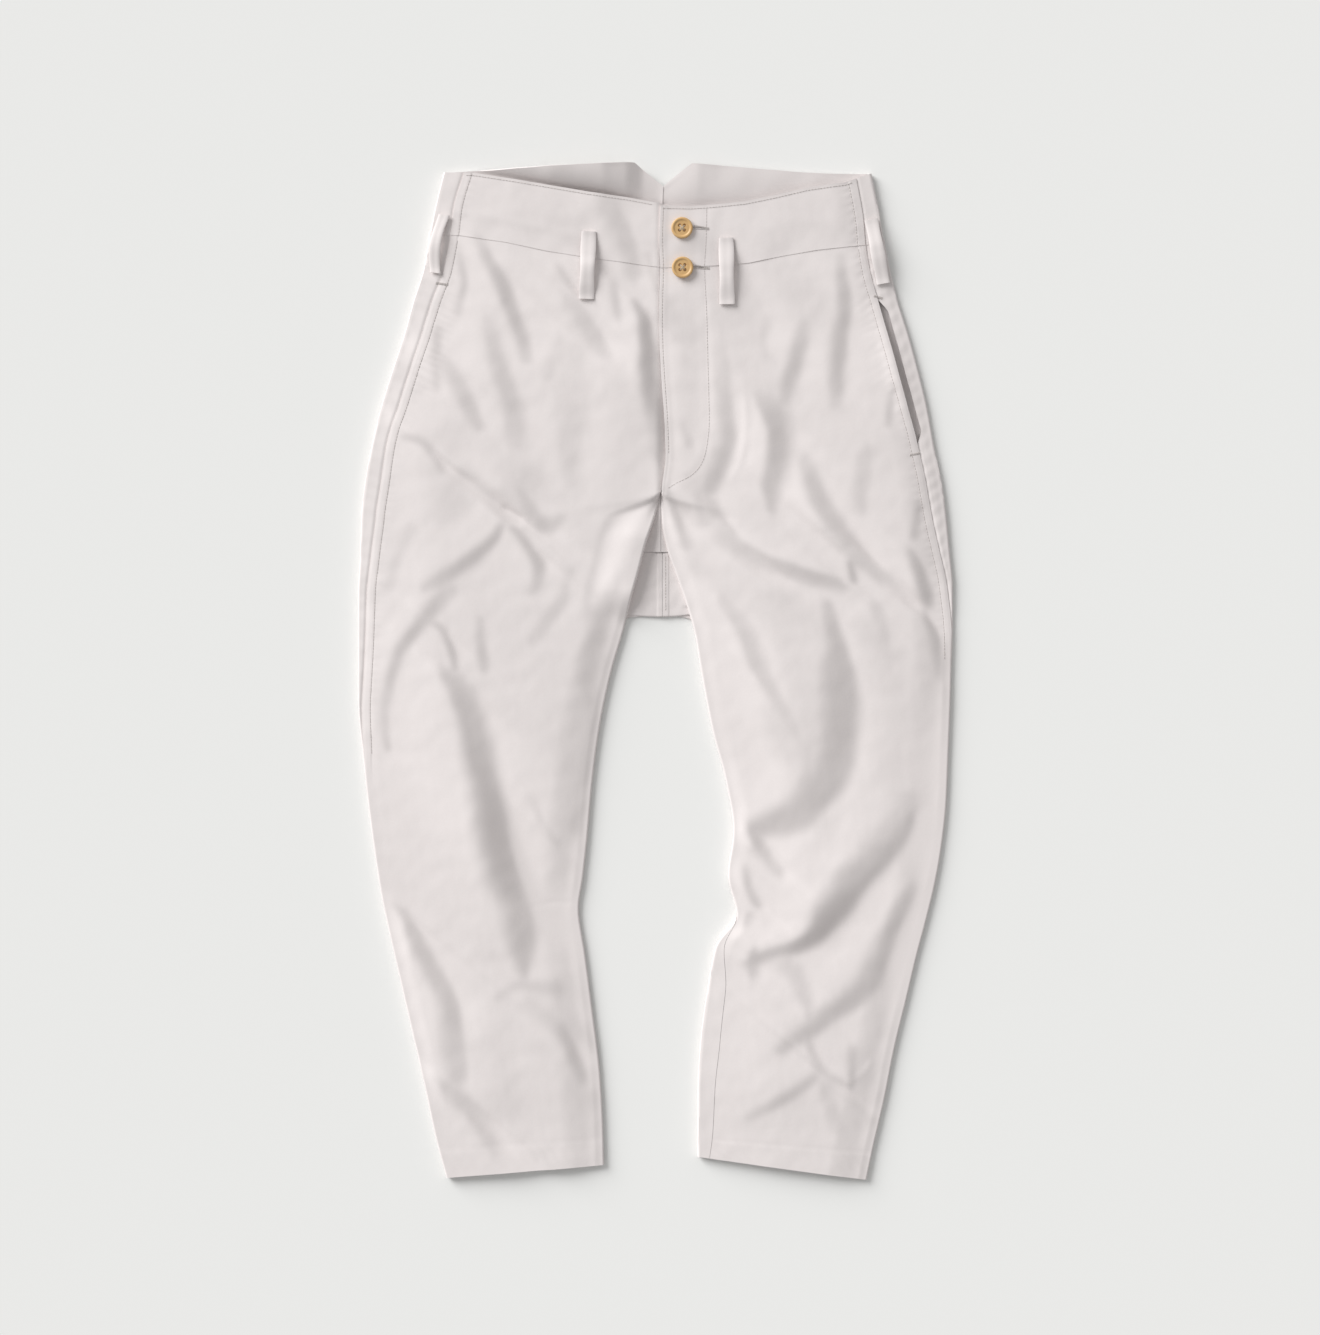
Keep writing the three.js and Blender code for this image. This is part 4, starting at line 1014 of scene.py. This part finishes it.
def surface_under(pieces):
    points, polygons = [], []
    for piece in pieces:
        start = len(points)
        points += [v.co[:] for v in piece.data.vertices]
        polygons += [[start + i for i in p.vertices] for p in piece.data.polygons]
    return BVHTree.FromPolygons(points, polygons)


def height_at(tree, x, y):
    hit = tree.ray_cast(Vector((x * MM, y * MM, 0.06)), Vector((0, 0, -1)))[0]
    return hit.z / MM if hit else None


def even_points(line, pitch):
    line = np.array(line, float)
    travelled = np.concatenate([[0], np.cumsum(np.linalg.norm(np.diff(line, axis=0), axis=1))])
    places = np.arange(0, travelled[-1], pitch)
    return np.stack([np.interp(places, travelled, line[:, k]) for k in range(line.shape[1])], axis=-1)


def thread(start, end, radius):
    """One stitch: a tip, two rings and a tip, and its faces."""
    start, end = np.array(start, float), np.array(end, float)
    run = end - start
    run /= max(1e-6, np.linalg.norm(run))
    side = np.cross(run, (0, 0, 1))
    side /= max(1e-6, np.linalg.norm(side))
    up = np.cross(side, run)
    angles = np.linspace(0, 2 * math.pi, THREAD_SIDES, endpoint=False)
    ring = radius * (np.cos(angles)[:, None] * side + np.sin(angles)[:, None] * up)
    points = np.vstack([start - run * radius * 0.8, start + ring, end + ring, end + run * radius * 0.8])
    faces = []
    upper, last = 1 + THREAD_SIDES, 1 + 2 * THREAD_SIDES
    for k in range(THREAD_SIDES):
        n = (k + 1) % THREAD_SIDES
        faces += [[0, 1 + n, 1 + k], [1 + k, 1 + n, upper + n, upper + k], [last, upper + k, upper + n]]
    return points, faces


def threads_mesh(name, stitches):
    points, faces = [], []
    for k, (start, end, radius) in enumerate(stitches):
        new_points, new_faces = thread(start, end, radius)
        points.append(new_points)
        faces += [[len(new_points) * k + i for i in face] for face in new_faces]
    return solid_mesh(name, np.vstack(points), faces, 80)


def sew(tree, line, radius=THREAD_RADIUS, length=STITCH_LENGTH, pitch=STITCH_PITCH, sink=0.1):
    """Stitches along a run on the cloth."""
    stitches = []
    places = even_points(line, 0.5)
    step = pitch / 0.5
    for k in range(int(len(places) / step)):
        a = places[int(k * step)]
        b = places[min(len(places) - 1, int(k * step + length / 0.5))]
        za, zb = height_at(tree, *a), height_at(tree, *b)
        if za is not None and zb is not None:
            stitches.append(((a[0], a[1], za + radius - sink), (b[0], b[1], zb + radius - sink), radius))
    return stitches


def bars(tree, start, end, length, pitch=0.55, radius=0.28, lift=0.15):
    """A row of close stitches across a short run."""
    start, end = np.array(start, float), np.array(end, float)
    run = (end - start) / np.linalg.norm(end - start)
    across = np.array([-run[1], run[0]]) * length / 2
    stitches = []
    for place in np.arange(0, np.linalg.norm(end - start), pitch):
        foot = start + run * place
        z = height_at(tree, *foot)
        if z is not None:
            a, b = foot - across, foot + across
            stitches.append(((a[0], a[1], z + lift), (b[0], b[1], z + lift), radius))
    return stitches


def edge_run(table, distance, shift, steps=RUN_STEPS):
    """The plan positions of a run beside the outer edge (distance from it, one number a section)."""
    rows = sections(table, steps)
    across = (rows["seam"] + distance) / widths(rows)
    return np.stack(front_place(rows, across, shift(rows, across[:, None])[:, 0]), axis=-1)


SEWN_PARTS = ("front", "waistband_front", "back")
SEAM_STITCHES_END = {"right": -85.0, "left": 7.0}
TOP_STITCHES_END = {"right": 0.87, "left": 0.995}
SEAT_STITCHES = [(9.1, 110), (9.1, 56)]
POCKET_TACKS = [(436, 283), (448, 285)], [(874, 296), (883, 298)], [(910, 455), (920, 453)]
cloth_top = surface_under([cloth_pieces[f"{part}_{side}"] for part in SEWN_PARTS for side in SIGN])


def side_stitches(side):
    """Beside the side seam on the leg and the waistband, and below the waistband's top edge."""
    down = edge_run(LEGS[side], SEAM_STITCH, leg_shift(side))
    down = down[(down[:, 1] > SEAM_STITCHES_END[side]) & (down[:, 1] < LEGS[side][0][1] - 1)]
    up = edge_run(BANDS[side], SEAM_STITCH, band_shift(side, "front", 2 * RUN_STEPS + 1))
    last = BANDS[side][-1]
    place = np.linspace(0.09, TOP_STITCHES_END[side], 60)
    x = mix(last[0], last[2], place)
    y = mix(last[1], last[3], place) + bow(f"{side}_front", place) - TOP_STITCH
    return sew(cloth_top, down) + sew(cloth_top, up) + sew(cloth_top, np.stack([x, y], axis=-1))


def fly_stitches():
    """Along the fly's edge on the leg and the waistband, along its curved line, and on the seat's seam."""
    stitches = []
    for table in (LEGS["left"][:7], BANDS["left"]):
        stitches += sew(cloth_top, smooth_line([(row[2] + FLY_STITCH, row[3]) for row in table]))
    return stitches + sew(cloth_top, smooth_line(FLY_CURVE), radius=0.2) + sew(cloth_top, SEAT_STITCHES)


def tack_stitches():
    """Bar tacks at the pockets' ends."""
    stitches = []
    for start, end in map(plan, POCKET_TACKS):
        stitches += bars(cloth_top, start, end, 2.2, radius=0.2, lift=0.05)
    return stitches


def buttonhole_stitches():
    """A row of close stitches on both sides of each buttonhole."""
    stitches = []
    for x, y in BUTTONS.values():
        for offset in (-0.9, 0.9):
            start, end = (x + 11.5, y + 1.0 + offset * 1.6), (x + 25.5, y - 0.5 + offset * 0.6)
            stitches += bars(cloth_top, start, end, 1.3, 0.7, 0.22, 0.12)
    return stitches


def slit_shade_stitches():
    """Near-black threads along each buttonhole's slit: painted shade standing in for the dark opening of the
    cut.
    """
    stitches = []
    for x, y in BUTTONS.values():
        stitches += sew(cloth_top, [(x + 9, y + 1.2), (x + 26, y - 0.5)], 0.24, 2.0, 1.6, 0.25)
    return stitches


def button_stitches():
    """Two crossed pairs of threads through each button's holes."""
    stitches = []
    reach = BUTTON["hole_spread"]
    for name, (x, y) in BUTTONS.items():
        top = button_tops[name] + 0.15
        for dy, raised in ((reach, 0.0), (-reach, 0.35)):
            for shifted in (-0.3, 0.3):
                start = (x - reach + shifted, y - dy - shifted * dy / reach, top + raised - 0.1)
                end = (x + reach + shifted, y + dy - shifted * dy / reach, top + raised - 0.1)
                stitches.append((start, end, 0.24))
    return stitches


both_sides = side_stitches("right") + side_stitches("left")
stitching = threads_mesh("stitching", both_sides + fly_stitches() + tack_stitches() + buttonhole_stitches())
# The buttonhole slits are near-black threads: painted shade, not a real opening in the cloth.
buttonhole_slit_shade = threads_mesh("buttonhole_slit_shade", slit_shade_stitches())
cross_threads = threads_mesh("button_threads", button_stitches())


# Materials
def new_material(name, rough, specular):
    material = bpy.data.materials.new(name)
    material.use_nodes = True
    shader = material.node_tree.nodes["Principled BSDF"]
    shader.inputs["Roughness"].default_value = rough
    shader.inputs["Specular IOR Level"].default_value = specular
    return material, material.node_tree, shader


def new_node(tree, kind, **values):
    node = tree.nodes.new(f"ShaderNode{kind}")
    for name, value in values.items():
        node.inputs[name].default_value = value
    return node


def noise(tree, place, scale, detail, rough=0.55):
    node = new_node(tree, "TexNoise", Scale=scale, Detail=detail, Roughness=rough)
    tree.links.new(place.outputs["Object"], node.inputs["Vector"])
    return node


def bump(tree, height, strength, distance, below=None):
    node = new_node(tree, "Bump", Strength=strength, Distance=distance)
    tree.links.new(height, node.inputs["Height"])
    if below:
        tree.links.new(below.outputs["Normal"], node.inputs["Normal"])
    return node


def noise_bump(tree, place, scale, detail, strength, distance, below=None):
    return bump(tree, noise(tree, place, scale, detail).outputs["Fac"], strength, distance, below)


def two_tone(tree, shader, factor, dark, light):
    blend = tree.nodes.new("ShaderNodeMix")
    blend.data_type = "RGBA"
    blend.inputs["A"].default_value = (*dark, 1)
    blend.inputs["B"].default_value = (*light, 1)
    tree.links.new(factor, blend.inputs["Factor"])
    tree.links.new(blend.outputs["Result"], shader.inputs["Base Color"])


def scaled(colour, amount):
    return tuple(min(1.0, c * amount) for c in colour)


def half_of(tree, value, added=None):
    """Half of a value, and what is added to it."""
    node = tree.nodes.new("ShaderNodeMath")
    node.operation = "MULTIPLY_ADD" if added else "MULTIPLY"
    node.inputs[1].default_value = 0.5
    tree.links.new(value, node.inputs[0])
    if added:
        tree.links.new(added, node.inputs[2])
    return node.outputs[0]


def cloth_material(name, base):
    material, tree, shader = new_material(name, 0.95, 0.15)
    shader.inputs["Sheen Weight"].default_value = 0.1
    shader.inputs["Sheen Roughness"].default_value = 0.6
    place = tree.nodes.new("ShaderNodeTexCoord")
    cloud = noise(tree, place, 28, 4)
    nap = noise(tree, place, 650, 3)
    mixed = half_of(tree, cloud.outputs["Fac"], half_of(tree, nap.outputs["Fac"]))
    two_tone(tree, shader, mixed, scaled(base, 0.94), scaled(base, 1.04))
    twill = new_node(tree, "TexWave", Scale=330, Distortion=1.2, Detail=1)
    twill.bands_direction = "DIAGONAL"
    tree.links.new(place.outputs["Object"], twill.inputs["Vector"])
    rib = bump(tree, twill.outputs["Fac"], 0.2, 0.00006)
    fluff = bump(tree, nap.outputs["Fac"], 0.4, 0.00012, rib)
    small = noise_bump(tree, place, 200, 3, 0.3, 0.0001, fluff)
    dents = noise_bump(tree, place, 45, 3, 0.3, 0.0004, small)
    tree.links.new(dents.outputs["Normal"], shader.inputs["Normal"])
    return material


def thread_material(name, base):
    material, tree, shader = new_material(name, 0.8, 0.2)
    grain = noise(tree, tree.nodes.new("ShaderNodeTexCoord"), 900, 2)
    two_tone(tree, shader, grain.outputs["Fac"], scaled(base, 0.8), scaled(base, 1.15))
    return material


def button_material(name):
    material, tree, shader = new_material(name, 0.42, 0.45)
    place = tree.nodes.new("ShaderNodeTexCoord")
    cloud = noise(tree, place, 160, 4, 0.6)
    two_tone(tree, shader, cloud.outputs["Fac"], (0.5, 0.285, 0.11), (0.71, 0.48, 0.225))
    scratch = noise_bump(tree, place, 700, 2, 0.15, 0.0001)
    tree.links.new(scratch.outputs["Normal"], shader.inputs["Normal"])
    return material


cloth = cloth_material("brushed_cotton", (0.748, 0.697, 0.685))
sewing_thread = thread_material("sewing_thread", (0.56, 0.52, 0.5))
# Near-black colour for the buttonhole slit threads: painted shade of the cut's opening.
slit_shade = thread_material("slit_painted_shade", (0.16, 0.14, 0.13))
pale_thread = thread_material("pale_thread", (0.6, 0.53, 0.42))
horn = button_material("ochre_button")


def dress(piece, material):
    piece.data.materials.clear()
    piece.data.materials.append(material)
    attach(piece, "root")


for node, piece in (cloth_pieces | loop_pieces).items():
    dress(piece, cloth)
    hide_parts(node)
for node, piece in button_pieces.items():
    dress(piece, horn)
    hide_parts(node)
dress(stitching, sewing_thread)
dress(buttonhole_slit_shade, slit_shade)
dress(cross_threads, pale_thread)

# What each sheet was cut to: width and length in metres, flat area in square metres, what it lies on.
SHEETS = {
    "front_right": ((0.31, 0.9), 0.195, ["back_right"]),
    "front_left": ((0.29, 0.9), 0.184, ["back_left", "front_right"]),
    "back_right": ((0.34, 0.9), 0.206, []),
    "back_left": ((0.34, 0.9), 0.204, []),
    "waistband_front_right": ((0.225, 0.092), 0.0134, ["waistband_back_right"]),
    "waistband_front_left": ((0.2, 0.085), 0.0114, ["waistband_back_left", "waistband_front_right"]),
    "waistband_back_right": ((0.245, 0.112), 0.0194, []),
    "waistband_back_left": ((0.235, 0.11), 0.0184, []),
    "belt_loop_front_right": ((0.014, 0.066), None, ["waistband_front_right", "front_right"]),
    "belt_loop_front_left": ((0.014, 0.066), None, ["waistband_front_left", "front_left"]),
    "belt_loop_side_right": ((0.0107, 0.062), None, ["waistband_back_right", "back_right"]),
    "belt_loop_side_left": ((0.0135, 0.064), None, ["waistband_front_left", "front_left"]),
}
for node, (flat, area, below) in SHEETS.items():
    piece = (cloth_pieces | loop_pieces)[node]


# Floor, light and camera
FLOOR_LEVEL = -0.0006
FLOOR_HALF = 6


def add_floor():
    mesh = bpy.data.meshes.new("ground")
    corners = [(x * FLOOR_HALF, y * FLOOR_HALF, FLOOR_LEVEL) for x, y in ((-1, -1), (1, -1), (1, 1), (-1, 1))]
    mesh.from_pydata(corners, [], [(0, 1, 2, 3)])
    new_object("ground", mesh)
    paper, _, shader = new_material("paper", 1.0, 0.0)
    shader.inputs["Base Color"].default_value = (0.83, 0.83, 0.815, 1)
    mesh.materials.append(paper)


def add_sky(strength):
    world = bpy.data.worlds.new("studio")
    world.use_nodes = True
    background = world.node_tree.nodes["Background"]
    background.inputs["Color"].default_value = (1, 1, 1, 1)
    background.inputs["Strength"].default_value = strength
    bpy.context.scene.world = world


def add_sun(name, energy, angle, azimuth, elevation):
    """A sun that shines from a bearing (degrees from +X towards +Y) and a height above the floor."""
    data = bpy.data.lights.new(name, "SUN")
    data.energy = energy
    data.angle = math.radians(angle)
    sun = new_object(name, data)
    bearing, height = math.radians(azimuth), math.radians(elevation)
    level = math.cos(height)
    towards = Vector((math.cos(bearing) * level, math.sin(bearing) * level, math.sin(height)))
    sun.rotation_mode = "QUATERNION"
    sun.rotation_quaternion = towards.to_track_quat("Z", "Y")


def add_camera(place, lens):
    data = bpy.data.cameras.new("camera")
    data.lens = lens
    data.sensor_width = 36
    data.clip_end = 20
    camera = new_object("camera", data)
    camera.location = place
    bpy.context.scene.camera = camera


add_floor()
add_sky(0.475)
add_sun("window", 3.95, 40, 140, 24)
add_camera((0.0038, 0.0043, 3.003), 85)
bpy.context.scene.view_settings.view_transform = "Standard"
